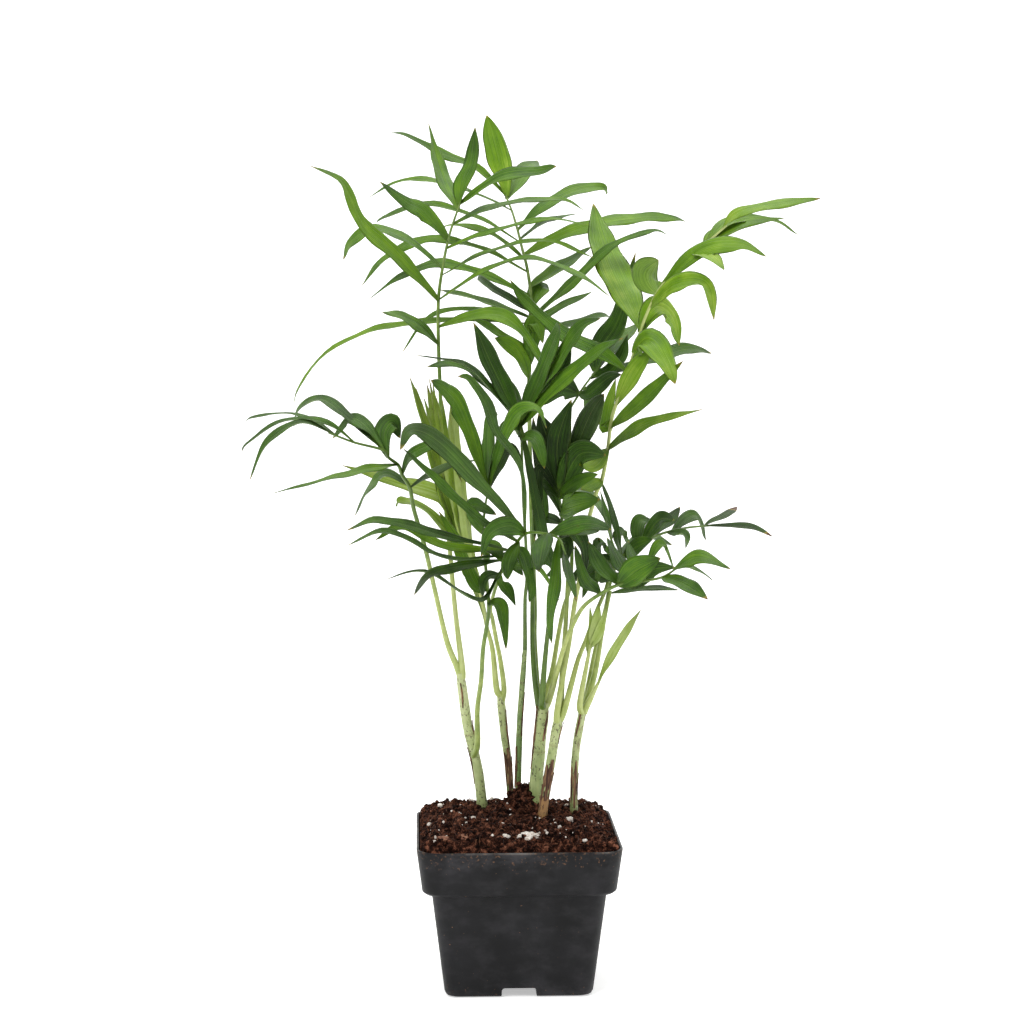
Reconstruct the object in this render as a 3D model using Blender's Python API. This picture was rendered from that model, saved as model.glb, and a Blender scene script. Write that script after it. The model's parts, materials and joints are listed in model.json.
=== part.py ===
"""A parlor palm in a square nursery pot.

Metres, +Z up, origin in the middle of the pot's base. The plant is laid out in millimetres as a front
elevation: each point has an x, a depth y (away from the viewer) and a z. A frond is a rachis, its
petiole included, with leaflets that each start on it, at a place counted in rachis points.
"""

import math

import bmesh
import bpy
from mathutils import Vector, noise

MM = 0.001

# Pot
POT_HEIGHT = 79 * MM
POT_RIM_WIDTH = 105.5 * MM
POT_BASE_WIDTH = 77 * MM
POT_WALL = 1.2 * MM
BAND_HEIGHT = 23.5 * MM  # the raised band below the rim
BAND_STEP = 4.8 * MM  # how far the band stands out from the body
BAND_TAPER = 2.9 * MM  # how much narrower the band is at its foot, on each side
RIM_CORNER = 11 * MM
BASE_CORNER = 6 * MM
BASE_ROUND = 3 * MM  # round between the sides and the base
NOTCH_WIDTH = 18 * MM
NOTCH_HEIGHT = 5 * MM
NOTCH_DEPTH = 18 * MM
CORNER_SEGMENTS = 5

# Soil
SOIL_BELOW_RIM = 1.5 * MM
SOIL_MOUND = 9.5 * MM
SOIL_LUMP_HEIGHT = 14 * MM  # peat that clings round the thickest stems
SOIL_LUMP_RADIUS = 10 * MM
SOIL_LUMP_PLACE = Vector((5, 12)) * MM
SOIL_UNEVEN = 1.2 * MM
SOIL_CLOD = 7 * MM  # spacing of the unevenness
SOIL_FLATNESS = 6  # the higher, the flatter the mound's top and the steeper its edge
SOIL_RINGS = (0.95, 0.85, 0.7, 0.54, 0.36, 0.18)  # where the mound's rings lie, as shares of its width
CLEARANCE = 0.3 * MM  # between any two pieces that touch

# Plant
DRAWN_RIM = 79  # the rim's height in the layout, mm
DRAWN_CENTRE = -1.4  # the pot's middle in the layout, mm
DEPTH_SPREAD = 1.6  # how much deeper the clump is than drawn, about the depth below
CLUMP_DEPTH = 8  # mm
SWING = 1.5  # how much further a leaflet's tip swings than drawn
GROWTH = 1.0  # size of everything that grows, 1 as drawn
EYE = Vector((-53, -1223, 358))  # the layout's outline holds from here, mm
BLADE_THICKNESS = 1.0 * MM
BLADE_BASE = 0.24  # a blade's width where it leaves the rachis, as a share of its full width
BLADE_SWELL = 0.8  # below 1, a blade is widest nearer its base
TIP_THINNING = 0.6  # how much of its thickness a blade loses by its tip
TIP_GAP = 0.25  # the last blades leave this far before the rachis ends, in rachis points
PETIOLE_RADIUS = 1.25 * MM
RACHIS_TIP_RADIUS = 0.8 * MM
SHEATH_THICKNESS = 0.8 * MM
STEM_ROOT = 14  # how far a stem goes down into the soil, mm

# Each stem: its radius at the foot and at the top in mm, and its points from the soil up.
STEMS = {
    "stem_a": (2.9, 2.6, [(-19, 15, 86), (-21, 15, 106), (-24, 14, 122), (-27, 14, 134), (-29, 13, 148),
                          (-31, 12, 163)]),
    "stem_b": (1.8, 2.3, [(-4, 20, 90), (-6, 19, 117), (-8, 18, 132), (-10, 16, 152)]),
    "stem_c": (2.1, 1.4, [(-1, 12, 92), (0, 11, 127), (1, 10, 148), (3, 8, 175)]),
    "stem_d": (3.6, 3.5, [(9, 8, 86), (9, 8, 103), (10, 8, 117), (11, 8, 130), (13, 8, 147)]),
    "stem_e": (2.5, 2.5, [(12, -1, 82), (14, 0, 100), (17, 0, 117), (19, 1, 130), (21, 2, 139)]),
    "stem_f": (2.0, 2.2, [(29, 8, 84), (29, 8, 106), (30, 8, 122), (32, 8, 135), (34, 8, 145)]),
}

# Each old sheath: its stem, its width in mm, and where it starts and ends on the stem, in stem points.
SHEATHS = {
    "sheath_b": ("stem_b", 4, 0.35, 1.4),
    "sheath_e": ("stem_e", 5, 0.7, 2),
    "sheath_f": ("stem_f", 3, 0.3, 1.6),
}

# Each frond: the points of its petiole and rachis, then its leaflets. A leaflet is where it starts on the
# rachis, its width, how far its upper face is turned to the viewer in degrees, how far back its tip
# swings, and the (x, z) points that it passes.
FRONDS = {
    "frond_a1": (
        [(-33, 12, 167), (-38, 9, 180), (-44, 2, 206), (-49, -6, 228), (-55, -14, 249), (-57, -20, 260),
         (-61, -23, 267), (-63, -26, 272), (-68, -30, 276), (-71, -33, 280), (-86, -38, 284),
         (-99, -43, 289)],
        [
            (5, 9, 20, -6, (-39, 271), (-20, 275)),
            (6, 10, 30, -14, (-55, 278), (-39, 282), (-30, 263)),
            (8, 12, 55, 4, (-70, 288), (-66, 294), (-62, 286)),
            (9, 11, 30, 10, (-80, 292), (-88, 296), (-97, 286)),
            (9, 10, 25, 26, (-91, 298), (-103, 306), (-114, 301), (-117, 291)),
            (11, 9, 15, -12, (-114, 294), (-131, 283), (-140, 264)),
            (10, 9, 12, -8, (-101, 294), (-122, 295), (-140, 284), (-144, 279)),
            (11, 8, 8, 14, (-107, 295), (-120, 299), (-138, 297), (-143, 293)),
            (7, 9, 18, -30, (-78, 270), (-99, 265), (-130, 257)),
            (5.2, 10, 25, 18, (-70, 267), (-79, 259), (-86, 245)),
        ],
    ),
    "frond_a2": (
        [(-30, 12, 166), (-33, 13, 191), (-35, 12, 212), (-37, 11, 236), (-40, 13, 270), (-41, 13, 306),
         (-42, 12, 334), (-42, 12, 357), (-40, 12, 373), (-37, 14, 388), (-34, 17, 398), (-30, 20, 409)],
        [
            (6, 11, 25, -20, (-52, 344), (-62, 349), (-71, 351)),
            (7, 12, 35, -24, (-57, 373), (-70, 386), (-81, 396), (-88, 411), (-94, 420), (-108, 426)),
            (8, 11, 25, 16, (-57, 387), (-74, 394), (-87, 387), (-91, 378)),
            (9, 12, 40, -8, (-49, 402), (-58, 407), (-72, 418)),
            (10.5, 12, 40, 18, (-39, 416), (-43, 429), (-47, 448)),
            (11, 12, 40, 6, (-29, 419), (-25, 429), (-23, 446)),
            (11, 11, 30, -10, (-10, 420), (10, 423), (19, 426)),
            (9.8, 10, 20, 14, (-10, 406), (21, 409), (37, 401)),
            (8.7, 10, 15, -16, (-16, 392), (13, 399), (36, 396)),
            (7.8, 9, 10, 10, (-16, 382), (13, 388), (39, 379)),
            (7, 10, 12, -18, (-18, 372), (5, 379), (31, 370), (47, 359)),
            (6.4, 12, 32, -6, (-23, 349), (-10, 349), (0, 342), (9, 329), (14, 319)),
        ],
    ),
    "frond_a3": (
        [(-22, 10, 125), (-22, 6, 143), (-20, 2, 159), (-19, -2, 175), (-17, -6, 188), (-16, -9, 197),
         (-17, -14, 212), (-18, -18, 223), (-19, -22, 236), (-18, -26, 249), (-16, -30, 261)],
        [
            (10, 12, 38, -14, (-30, 298), (-38, 310), (-46, 316)),
            (10, 11, 30, 4, (-16, 291), (-13, 301)),
            (9.8, 11, 30, -12, (-8, 285), (0, 299), (9, 300), (14, 291)),
            (5.6, 11, 30, -4, (-23, 209), (-29, 223), (-33, 233), (-42, 248)),
            (5.2, 10, 35, -6, (-11, 198), (-9, 190), (-7, 175)),
        ],
    ),
    "frond_b1": (
        [(-12, 15, 155), (-14, 13, 175), (-17, 11, 187), (-19, 9, 197), (-22, 6, 209), (-26, 3, 223)],
        [
            (5, 10, 30, -8, (-39, 254), (-48, 291), (-57, 318)),
            (5, 9, 25, -1, (-36, 258), (-44, 285), (-50, 308)),
            (5, 10, 45, -3, (-35, 244), (-43, 285), (-48, 314)),
            (5, 10, 45, -10, (-31, 244), (-40, 285), (-44, 309)),
            (4.2, 10, 50, -6, (-29, 238), (-34, 285), (-35, 312)),
            (5, 11, 35, -4, (-38, 249), (-43, 257), (-60, 262), (-73, 266), (-92, 272)),
            (5, 9, 20, 6, (-47, 247), (-61, 253), (-64, 251)),
        ],
    ),
    "frond_b2": (
        [(-8, 15, 155), (-10, 11, 170), (-12, 6, 180), (-14, 2, 191), (-15, -1, 198), (-10, -14, 215),
         (-4, -28, 227), (3, -40, 236), (14, -48, 236), (21, -54, 233), (24, -58, 225)],
        [
            (7, 12, 45, -16, (-21, 262), (-42, 284), (-56, 290), (-62, 280)),
            (6.5, 10, 25, -20, (-22, 244), (-47, 267), (-61, 281)),
            (7, 12, 50, -10, (-5, 240), (-15, 236), (-20, 224)),
            (6.5, 11, 40, -8, (-5, 222), (-6, 212)),
            (8.2, 12, 40, -8, (34, 241), (48, 238)),
            (8, 12, 45, -14, (12, 228), (10, 216)),
            (9, 11, 35, 10, (31, 238), (42, 238)),
            (6, 9, 25, -4, (-2, 219), (10, 217), (22, 199)),
            (9, 10, 35, -6, (19, 212), (16, 191), (17, 178)),
            (10, 9, 35, -10, (25, 215), (30, 200)),
            (6, 10, 20, -30, (-37, 234), (-57, 240), (-75, 243), (-90, 238)),
            (6, 10, 25, -8, (-37, 229), (-60, 240), (-75, 233)),
            (5.8, 8, 10, -40, (-37, 223), (-68, 237), (-90, 230)),
            (5.2, 8, 10, -20, (-21, 201), (-49, 216), (-71, 212)),
            (5.6, 9, 25, -26, (-30, 219), (-47, 214), (-55, 204)),
            (7, 10, 28, -14, (0, 270), (-12, 288), (-18, 304), (-26, 316), (-32, 318)),
        ],
    ),
    "frond_c1": (
        [(3, 8, 177), (3, 5, 201), (4, 3, 217), (2, -4, 254), (1, -10, 285), (0, -13, 296)],
        [
            (5, 13, 45, -4, (-10, 314), (-17, 329), (-24, 346)),
            (5, 11, 45, 6, (-4, 308), (-8, 319)),
            (4.9, 10, 22, -8, (-21, 317), (-34, 324), (-48, 323)),
            (5, 9, 12, -14, (-16, 312), (-29, 324), (-54, 329)),
            (5, 12, 35, -8, (10, 316), (19, 339), (21, 345)),
            (4.8, 11, 25, -16, (18, 322), (31, 342), (42, 348)),
            (4.6, 11, 30, -20, (16, 309), (39, 329), (54, 338)),
        ],
    ),
    "frond_d1": (
        [(10, 10, 149), (8, 14, 180), (8, 17, 201), (6, 24, 254), (5, 32, 306), (5, 40, 342),
         (6, 45, 357), (4, 50, 373), (1, 54, 385), (-1, 57, 393), (-4, 60, 403), (-8, 64, 413)],
        [
            (11, 14, 60, 6, (-12, 434), (-17, 452)),
            (10.6, 12, 50, 18, (3, 424), (9, 429)),
            (9, 11, 32, 14, (13, 405), (29, 413), (42, 415), (45, 412)),
            (7.6, 12, 35, 20, (21, 390), (42, 397), (62, 400), (79, 400), (86, 398)),
            (6.4, 11, 28, 16, (21, 374), (37, 385)),
            (5.2, 10, 20, -20, (15, 355), (29, 368), (47, 385), (68, 393), (77, 391)),
            (5.1, 10, 24, 6, (23, 355), (38, 362)),
            (5, 9, 15, 22, (21, 343), (42, 349), (48, 348)),
            (10.8, 11, 25, -12, (-23, 425), (-42, 433), (-57, 441), (-67, 443)),
            (10, 9, 12, 18, (-21, 411), (-44, 418), (-62, 418), (-79, 409)),
            (8.2, 9, 15, -12, (-21, 399), (-47, 406), (-68, 400), (-74, 397)),
            (6.9, 10, 22, 18, (-21, 384), (-47, 389), (-70, 379), (-82, 364)),
            (6.1, 11, 25, -8, (-16, 369), (-39, 376), (-60, 370), (-79, 357)),
            (5.6, 10, 24, -14, (-16, 364), (-22, 368)),
            (5.4, 9, 20, 14, (-23, 358), (-43, 363)),
            (4.9, 9, 20, -10, (-10, 350), (-34, 353), (-49, 347), (-61, 330)),
            (5.2, 7, 22, -18, (-31, 347), (-57, 345), (-78, 341), (-101, 329), (-114, 312), (-117, 303)),
            (4.7, 10, 22, -10, (-13, 341), (-25, 348)),
        ],
    ),
    "frond_d2": (
        [(12, 5, 149), (14, 4, 175), (17, 3, 201), (22, 3, 238), (21, 3, 254), (21, 3, 260)],
        [
            (5, 16, 75, 2, (16, 280), (10, 299)),
            (5, 12, 50, -4, (36, 296), (44, 309)),
            (5, 14, 60, -8, (31, 277), (45, 277)),
            (4.2, 11, 35, -10, (30, 262), (41, 267)),
            (3.6, 13, 45, -14, (29, 251), (42, 254)),
        ],
    ),
    "frond_d3": (
        [(13, 12, 149), (17, 14, 162), (20, 15, 180), (23, 17, 196), (27, 20, 212), (27, 24, 243),
         (24, 28, 270), (22, 31, 291), (31, 36, 309), (42, 42, 324)],
        [
            (9, 13, 50, 8, (42, 332), (52, 349), (60, 382)),
            (9, 12, 40, 20, (50, 336), (62, 346)),
            (8.5, 11, 30, 24, (68, 326), (88, 332), (100, 330)),
            (8, 13, 60, -4, (20, 312), (11, 303)),
            (8.2, 13, 60, 6, (38, 303), (42, 293)),
        ],
    ),
    "frond_d4": (
        [(16, 8, 149), (20, 4, 164), (24, -2, 178), (29, -8, 190), (34, -14, 198), (42, -20, 204),
         (52, -27, 209), (65, -33, 211), (75, -38, 213), (83, -42, 218)],
        [
            (6, 14, 65, -8, (62, 217), (74, 223)),
            (9, 11, 25, -10, (94, 223), (111, 217)),
            (9, 8, 10, 8, (91, 218), (102, 211)),
            (8, 11, 30, -16, (86, 209), (99, 201)),
            (7, 8, 20, 10, (74, 230), (81, 217)),
        ],
    ),
    "frond_e1": (
        [(20, 1, 142), (23, 4, 161), (26, 6, 178), (29, 8, 199), (32, 9, 215), (35, 10, 238),
         (40, 10, 257), (43, 10, 264), (46, 9, 280), (48, 8, 296), (53, 7, 311), (59, 6, 329),
         (65, 5, 348), (73, 4, 364), (86, 2, 377), (98, 0, 388), (107, -2, 396)],
        [
            (8, 12, 32, -20, (65, 293), (96, 301)),
            (8.7, 13, 45, -14, (65, 306), (85, 326)),
            (9.5, 13, 60, -6, (60, 322), (68, 331)),
            (11, 12, 50, -16, (67, 336), (75, 326), (81, 314)),
            (11.6, 12, 50, 10, (71, 353), (79, 348), (83, 334)),
            (12.4, 12, 40, -20, (81, 365), (96, 365), (101, 347)),
            (12.8, 13, -55, 6, (67, 370), (72, 378)),
            (13, 12, 40, -14, (94, 383), (114, 386), (128, 380)),
            (14.4, 11, 35, -14, (98, 380), (106, 373)),
            (15, 10, 28, 14, (109, 398), (130, 399), (145, 391)),
            (16, 10, 25, -6, (115, 403), (140, 408), (156, 410)),
            (11.7, 15, 65, 30, (53, 363), (43, 386), (38, 407)),
            (10.5, 12, 40, 6, (42, 330), (21, 341), (3, 357), (-5, 368)),
        ],
    ),
    "frond_e2": (
        [(23.5, 2, 142), (28, 4, 159), (31, 6, 170), (35, 8, 180), (40, 11, 194), (45, 14, 206),
         (50, 18, 220), (62, 22, 230), (75, 25, 236), (88, 28, 239), (100, 30, 240)],
        [
            (6.3, 10, 25, 4, (48, 249), (43, 263)),
            (7, 12, 50, 8, (63, 242), (70, 243)),
            (7.2, 12, 45, -10, (73, 243), (81, 243)),
            (8.4, 12, 35, 14, (92, 245), (98, 232)),
            (8.2, 9, 35, -12, (86, 235), (87, 228)),
            (10, 9, 20, 12, (108, 246), (114, 250)),
            (10, 9, 20, -8, (120, 239), (133, 234)),
            (6, 10, 25, -10, (42, 231), (40, 215)),
            (6.3, 10, 25, 14, (53, 236), (60, 226)),
        ],
    ),
    "frond_f1": (
        [(35, 10, 147), (36, 12, 153), (40, 17, 175), (45, 24, 196), (48, 31, 212), (51, 37, 222),
         (48, 42, 233), (44, 46, 246)],
        [
            (6, 9, 20, 6, (45, 243), (42, 259)),
            (3.5, 8, 10, -14, (68, 207), (84, 206)),
            (5, 10, 20, 22, (66, 234), (80, 230)),
            (7, 10, 25, 20, (36, 256), (26, 260)),
        ],
    ),
    "spear_f": (
        [(32, 5, 147), (36, 2, 170), (38, 1, 180)],
        [
            (2, 6, 40, -2, (40, 188), (42, 199)),
            (1.6, 6, 40, -6, (42, 184), (47, 201)),
            (1.2, 5.5, 40, 4, (38, 184), (37, 198)),
        ],
    ),
    "blade_f": (
        [(37, 6, 148), (43, 3, 160)],
        [
            (1, 6.5, 30, -14, (49, 172), (57, 185), (64, 196)),
        ],
    ),
}

# Each grain on the soil: its x and y in mm, its length, width and height in mm, its turn and its material.
GRAINS = {
    "perlite_large": (5, -41, (12, 7, 6), 10, "perlite"),
    "perlite_small": (-7, -40.5, (5, 4, 4), 40, "perlite"),
    "perlite_rear": (28, 20, (6, 4.5, 4), 70, "perlite"),
    "bark_chip_red": (-39, -41.5, (8, 5.5, 4), 25, "bark"),
    "bark_chip_dark": (-28.5, -41, (6, 4.5, 4), 60, "bark"),
}

# Material: its colour as sRGB hex and its roughness.
FINISHES = {
    "pot_plastic": ("2e2e30", 0.6),
    "soil": ("2a1710", 0.95),
    "perlite": ("e5dcd4", 0.9),
    "bark": ("6b3a22", 0.9),
    "stem": ("a8bf7c", 0.5),
    "sheath": ("5a3f2c", 0.8),
    "leaf": ("3c6b25", 0.45),
    "leaf_young": ("8db43a", 0.45),
}
YOUNG_FRONDS = {"frond_b1", "frond_e1", "spear_f", "blade_f"}


def clear_scene():
    for obj in list(bpy.data.objects):
        bpy.data.objects.remove(obj)


def new_collection(name, is_cutter):
    collection = bpy.data.collections.new(name)
    collection.hide_render = is_cutter
    bpy.context.scene.collection.children.link(collection)
    return collection


def new_material(name, colour, roughness):
    def linear(part):
        value = int(part, 16) / 255
        return value / 12.92 if value <= 0.04045 else ((value + 0.055) / 1.055) ** 2.4

    material = bpy.data.materials.new(name)
    material.use_nodes = True
    shader = material.node_tree.nodes["Principled BSDF"]
    red, green, blue = (linear(colour[i : i + 2]) for i in (0, 2, 4))
    shader.inputs["Base Color"].default_value = (red, green, blue, 1)
    shader.inputs["Roughness"].default_value = roughness
    shader.inputs["Metallic"].default_value = 0
    return material


def add_object(name, mesh, material, collection):
    """A named object that holds this mesh, with round stretches shaded smooth."""
    obj = bpy.data.objects.new(name, mesh)
    collection.objects.link(obj)
    mesh.materials.append(bpy.data.materials[material])
    mesh.shade_smooth()
    mesh.set_sharp_from_angle(angle=math.radians(35))
    if collection.hide_render:
        obj.hide_render = True
        obj.display_type = "WIRE"
    return obj


def mesh_from(bm, name):
    bmesh.ops.recalc_face_normals(bm, faces=bm.faces)
    bmesh.ops.triangulate(bm, faces=bm.faces)  # a twisted four-sided face would leave slivers when joined
    mesh = bpy.data.meshes.new(name)
    bm.to_mesh(mesh)
    bm.free()
    return mesh


def add_boolean(obj, operation, collection):
    modifier = obj.modifiers.new(operation.lower(), "BOOLEAN")
    modifier.operation = operation
    modifier.operand_type = "COLLECTION"
    modifier.collection = collection
    modifier.solver = "EXACT"


def loft_mesh(name, rings, tip=None):
    """A closed mesh through rings of equal length, capped at its first ring and at a tip or its last."""
    bm = bmesh.new()
    loops = [[bm.verts.new(point) for point in ring] for ring in rings]
    count = len(rings[0])
    for lower, upper in zip(loops, loops[1:]):
        for i in range(count):
            j = (i + 1) % count
            bm.faces.new((lower[i], lower[j], upper[j], upper[i]))
    bm.faces.new(list(reversed(loops[0])))
    if tip is None:
        bm.faces.new(loops[-1])
    else:
        point = bm.verts.new(tip)
        for i in range(count):
            bm.faces.new((loops[-1][i], loops[-1][(i + 1) % count], point))
    return mesh_from(bm, name)


# Pot and soil


def square_ring(width, corner, z):
    """A square with rounded corners, anticlockwise."""
    centre = width / 2 - corner
    points = []
    for side in range(4):
        start = side * math.pi / 2
        middle = start + math.pi / 4
        x = math.copysign(centre, math.cos(middle))
        y = math.copysign(centre, math.sin(middle))
        for step in range(CORNER_SEGMENTS + 1):
            angle = start + step / CORNER_SEGMENTS * math.pi / 2
            points.append(Vector((x + corner * math.cos(angle), y + corner * math.sin(angle), z)))
    return points


def pot_profile(inset):
    """(z, width, corner) up the pot's outside, or up a surface this far inside it."""
    step_height = POT_HEIGHT - BAND_HEIGHT
    band_foot = POT_RIM_WIDTH - 2 * BAND_TAPER
    band_round = BAND_STEP / 3
    rows = [
        (0, POT_BASE_WIDTH - 2 * BASE_ROUND),
        (BASE_ROUND * 0.3, POT_BASE_WIDTH - 0.6 * BASE_ROUND),
        (BASE_ROUND, POT_BASE_WIDTH),
        (step_height, band_foot - 2 * BAND_STEP),
        (step_height, band_foot - 2 * band_round),
        (step_height + band_round, band_foot),
        (POT_HEIGHT, POT_RIM_WIDTH),
    ]
    profile = []
    for z, width in rows:
        share = (width - POT_BASE_WIDTH) / (POT_RIM_WIDTH - POT_BASE_WIDTH)
        corner = BASE_CORNER + (RIM_CORNER - BASE_CORNER) * share
        profile.append((z + inset, width - 2 * inset, corner - inset / 2))
    return profile


def add_notch_blocks(collection, inset):
    """The four drain notches as solids, or the walls round them when inset is more than 0."""
    inner = POT_BASE_WIDTH / 2 - NOTCH_DEPTH - inset
    outer = POT_RIM_WIDTH / 2
    low = -NOTCH_HEIGHT
    high = NOTCH_HEIGHT + inset
    for side in range(4):
        bm = bmesh.new()
        bmesh.ops.create_cube(bm, size=1)
        for vert in bm.verts:
            vert.co.x *= NOTCH_WIDTH + 2 * inset
            vert.co.y = inner if vert.co.y < 0 else outer
            vert.co.z = low if vert.co.z < 0 else high
        upper = [edge for edge in bm.edges if all(v.co.z == high for v in edge.verts)]
        bmesh.ops.bevel(bm, geom=upper, offset=NOTCH_HEIGHT / 3, segments=2, affect="EDGES", profile=0.5)
        name = f"notch_{side}_{collection.name}"
        obj = add_object(name, mesh_from(bm, "notch"), "pot_plastic", collection)
        obj.rotation_euler.z = side * math.pi / 2


def make_pot(parts):
    notches = new_collection("notch_cutters", True)
    add_notch_blocks(notches, 0)
    notch_walls = new_collection("notch_walls", True)
    add_notch_blocks(notch_walls, POT_WALL)
    cavities = new_collection("cavity_cutters", True)
    inner = [square_ring(width, corner, z) for z, width, corner in pot_profile(POT_WALL)]
    cavity = add_object("pot_cavity", loft_mesh("cavity", inner), "pot_plastic", cavities)
    add_boolean(cavity, "DIFFERENCE", notch_walls)
    outer = [square_ring(width, corner, z) for z, width, corner in pot_profile(0)]
    pot = add_object("pot", loft_mesh("pot", outer), "pot_plastic", parts)
    add_boolean(pot, "DIFFERENCE", cavities)
    add_boolean(pot, "DIFFERENCE", notches)


def soil_height(x, y):
    """The top of the soil: a mound, a lump by the thickest stems, and small unevenness."""
    reach = min(1, max(abs(x), abs(y)) / (POT_RIM_WIDTH / 2 - POT_WALL))
    mound = SOIL_MOUND * (1 - reach**SOIL_FLATNESS)
    away = (Vector((x, y)) - SOIL_LUMP_PLACE).length / SOIL_LUMP_RADIUS
    lump = SOIL_LUMP_HEIGHT * math.exp(-(away**2))
    rough = SOIL_UNEVEN * noise.noise(Vector((x, y, 0)) / SOIL_CLOD) * (1 - reach**SOIL_FLATNESS)
    return POT_HEIGHT - SOIL_BELOW_RIM + mound + lump + rough


def make_soil(parts, pockets):
    inset = POT_WALL + CLEARANCE
    top = POT_HEIGHT - SOIL_BELOW_RIM
    profile = pot_profile(inset)
    walls = [row for row in profile if row[0] < top]
    (z1, width1, corner1), (z2, width2, corner2) = walls[-1], profile[len(walls)]
    share = (top - z1) / (z2 - z1)
    walls.append((top, width1 + (width2 - width1) * share, corner1 + (corner2 - corner1) * share))
    rings = [square_ring(width, corner, z) for z, width, corner in walls]
    edge = rings[-1]
    for shrink in SOIL_RINGS:
        ring = [point * shrink for point in edge]
        rings.append([Vector((p.x, p.y, soil_height(p.x, p.y))) for p in ring])
    tip = Vector((0, 0, soil_height(0, 0)))
    soil = add_object("soil", loft_mesh("soil", rings, tip), "soil", parts)
    notch_room = new_collection("notch_room", True)
    add_notch_blocks(notch_room, inset)
    add_boolean(soil, "DIFFERENCE", notch_room)
    add_boolean(soil, "DIFFERENCE", pockets)


def make_grains(parts, pockets):
    for name, (x, y, size, turn, finish) in GRAINS.items():
        centre = Vector((x * MM, y * MM, soil_height(x * MM, y * MM)))
        for gap, where in ((0, parts), (CLEARANCE, pockets)):
            bm = bmesh.new()
            bmesh.ops.create_icosphere(bm, subdivisions=2, radius=1)
            for vert in bm.verts:
                uneven = 1 + 0.16 * noise.noise(vert.co * 1.7 + Vector((x, y, 0)))
                half = [side / 2 * MM * uneven + gap * 1.3 for side in size]
                vert.co = Vector([c * h for c, h in zip(vert.co, half)])
            label = name if where is parts else name + "_pocket"
            obj = add_object(label, mesh_from(bm, name), finish, where)
            obj.location = centre
            obj.rotation_euler.z = math.radians(turn)


# Plant


def place(x, y, z):
    """A point of the layout in metres: it keeps its place in the elevation, seen from the layout's eye."""
    y = CLUMP_DEPTH + (y - CLUMP_DEPTH) * DEPTH_SPREAD
    spread = (y - EYE.y) / -EYE.y
    seen = EYE + (Vector((x, 0, z)) - EYE) * spread
    grown = (seen - Vector((DRAWN_CENTRE, 0, DRAWN_RIM))) * GROWTH * MM
    return grown + Vector((0, 0, POT_HEIGHT))


def add_tube(name, points, radii, sides_level, finish, collection):
    """A tapering round rod along these points, as a mesh with its caps joined on."""
    curve = bpy.data.curves.new(name, "CURVE")
    curve.dimensions = "3D"
    curve.bevel_depth = 1
    curve.bevel_resolution = sides_level
    curve.use_fill_caps = True
    spline = curve.splines.new("POLY")
    spline.points.add(len(points) - 1)
    for point, co, radius in zip(spline.points, points, radii):
        point.co = (*co, 1)
        point.radius = radius
    guide = bpy.data.objects.new(name + "_guide", curve)
    bpy.context.scene.collection.objects.link(guide)
    graph = bpy.context.evaluated_depsgraph_get()
    mesh = bpy.data.meshes.new_from_object(guide.evaluated_get(graph))
    bpy.data.objects.remove(guide)
    bm = bmesh.new()
    bm.from_mesh(mesh)
    bmesh.ops.remove_doubles(bm, verts=bm.verts, dist=1e-6)
    return add_object(name, mesh_from(bm, name), finish, collection)


def along(points, at):
    """The point at this place on a run of straight stretches, counted in points from 0."""
    index = min(int(at), len(points) - 2)
    return points[index].lerp(points[index + 1], at - index)


def smooth(points, at):
    """The point at this place on the smooth curve through the points, and its direction."""
    index = min(int(at), len(points) - 2)
    t = at - index
    p1, p2 = points[index], points[index + 1]
    p0 = points[index - 1] if index else p1 * 2 - p2
    p3 = points[index + 2] if index + 2 < len(points) else p2 * 2 - p1
    a = (p1 * 3 - p0 - p2 * 3 + p3) / 2
    b = (p0 * 2 - p1 * 5 + p2 * 4 - p3) / 2
    c = (p2 - p0) / 2
    return ((a * t + b) * t + c) * t + p1, ((a * 3 * t + b * 2) * t + c).normalized()


def add_blade(name, points, width, thickness, turn, finish, collection):
    """A thin blade along the smooth curve through these points, its upper face turned to the viewer."""
    depth = Vector((0, 1, 0))
    side = 1 if points[-1].x < points[0].x else -1
    spans = len(points) + 1
    rings = []
    for step in range(spans):
        share = step / spans
        centre, heading = smooth(points, share * (len(points) - 1))
        level = (depth - heading * depth.dot(heading)).normalized()
        up = level.cross(heading) * side
        face = up * math.cos(turn) - level * math.sin(turn)
        across = heading.cross(face)
        swell = BLADE_BASE + (1 - BLADE_BASE) * math.sin(math.pi * share**BLADE_SWELL)
        half_width = across * width / 2 * swell
        half_thickness = face * thickness / 2 * (1 - share * TIP_THINNING)
        rings.append(
            [centre - half_width, centre - half_thickness, centre + half_width, centre + half_thickness]
        )
    return add_object(name, loft_mesh(name, rings, points[-1]), finish, collection)


def make_stems(parts, pockets):
    for name, (foot, top, drawn) in STEMS.items():
        x, y, z = drawn[0]
        points = [place(x, y, z - STEM_ROOT)] + [place(*point) for point in drawn]
        count = len(points) - 1
        radii = [(foot + (top - foot) * i / count) * MM * GROWTH for i in range(count + 1)]
        add_tube(name, points, radii, 2, "stem", parts)
        below = points[0] - (points[1] - points[0]).normalized() * CLEARANCE
        wider = [radius + CLEARANCE for radius in radii]
        add_tube(name + "_pocket", [below] + points[1:3], wider, 2, "soil", pockets)


def make_sheaths(parts):
    for name, (stem, width, start, end) in SHEATHS.items():
        foot, top, drawn = STEMS[stem]
        axis = [place(*point) for point in drawn]
        stand_off = max(foot, top) * MM * GROWTH + CLEARANCE + SHEATH_THICKNESS / 2
        towards_viewer = Vector((0, -stand_off, 0))
        points = [along(axis, at) + towards_viewer for at in (start, (start + end) / 2, end)]
        add_blade(
            name, points, width * MM * GROWTH, SHEATH_THICKNESS, math.radians(90), "sheath", parts
        )


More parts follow.
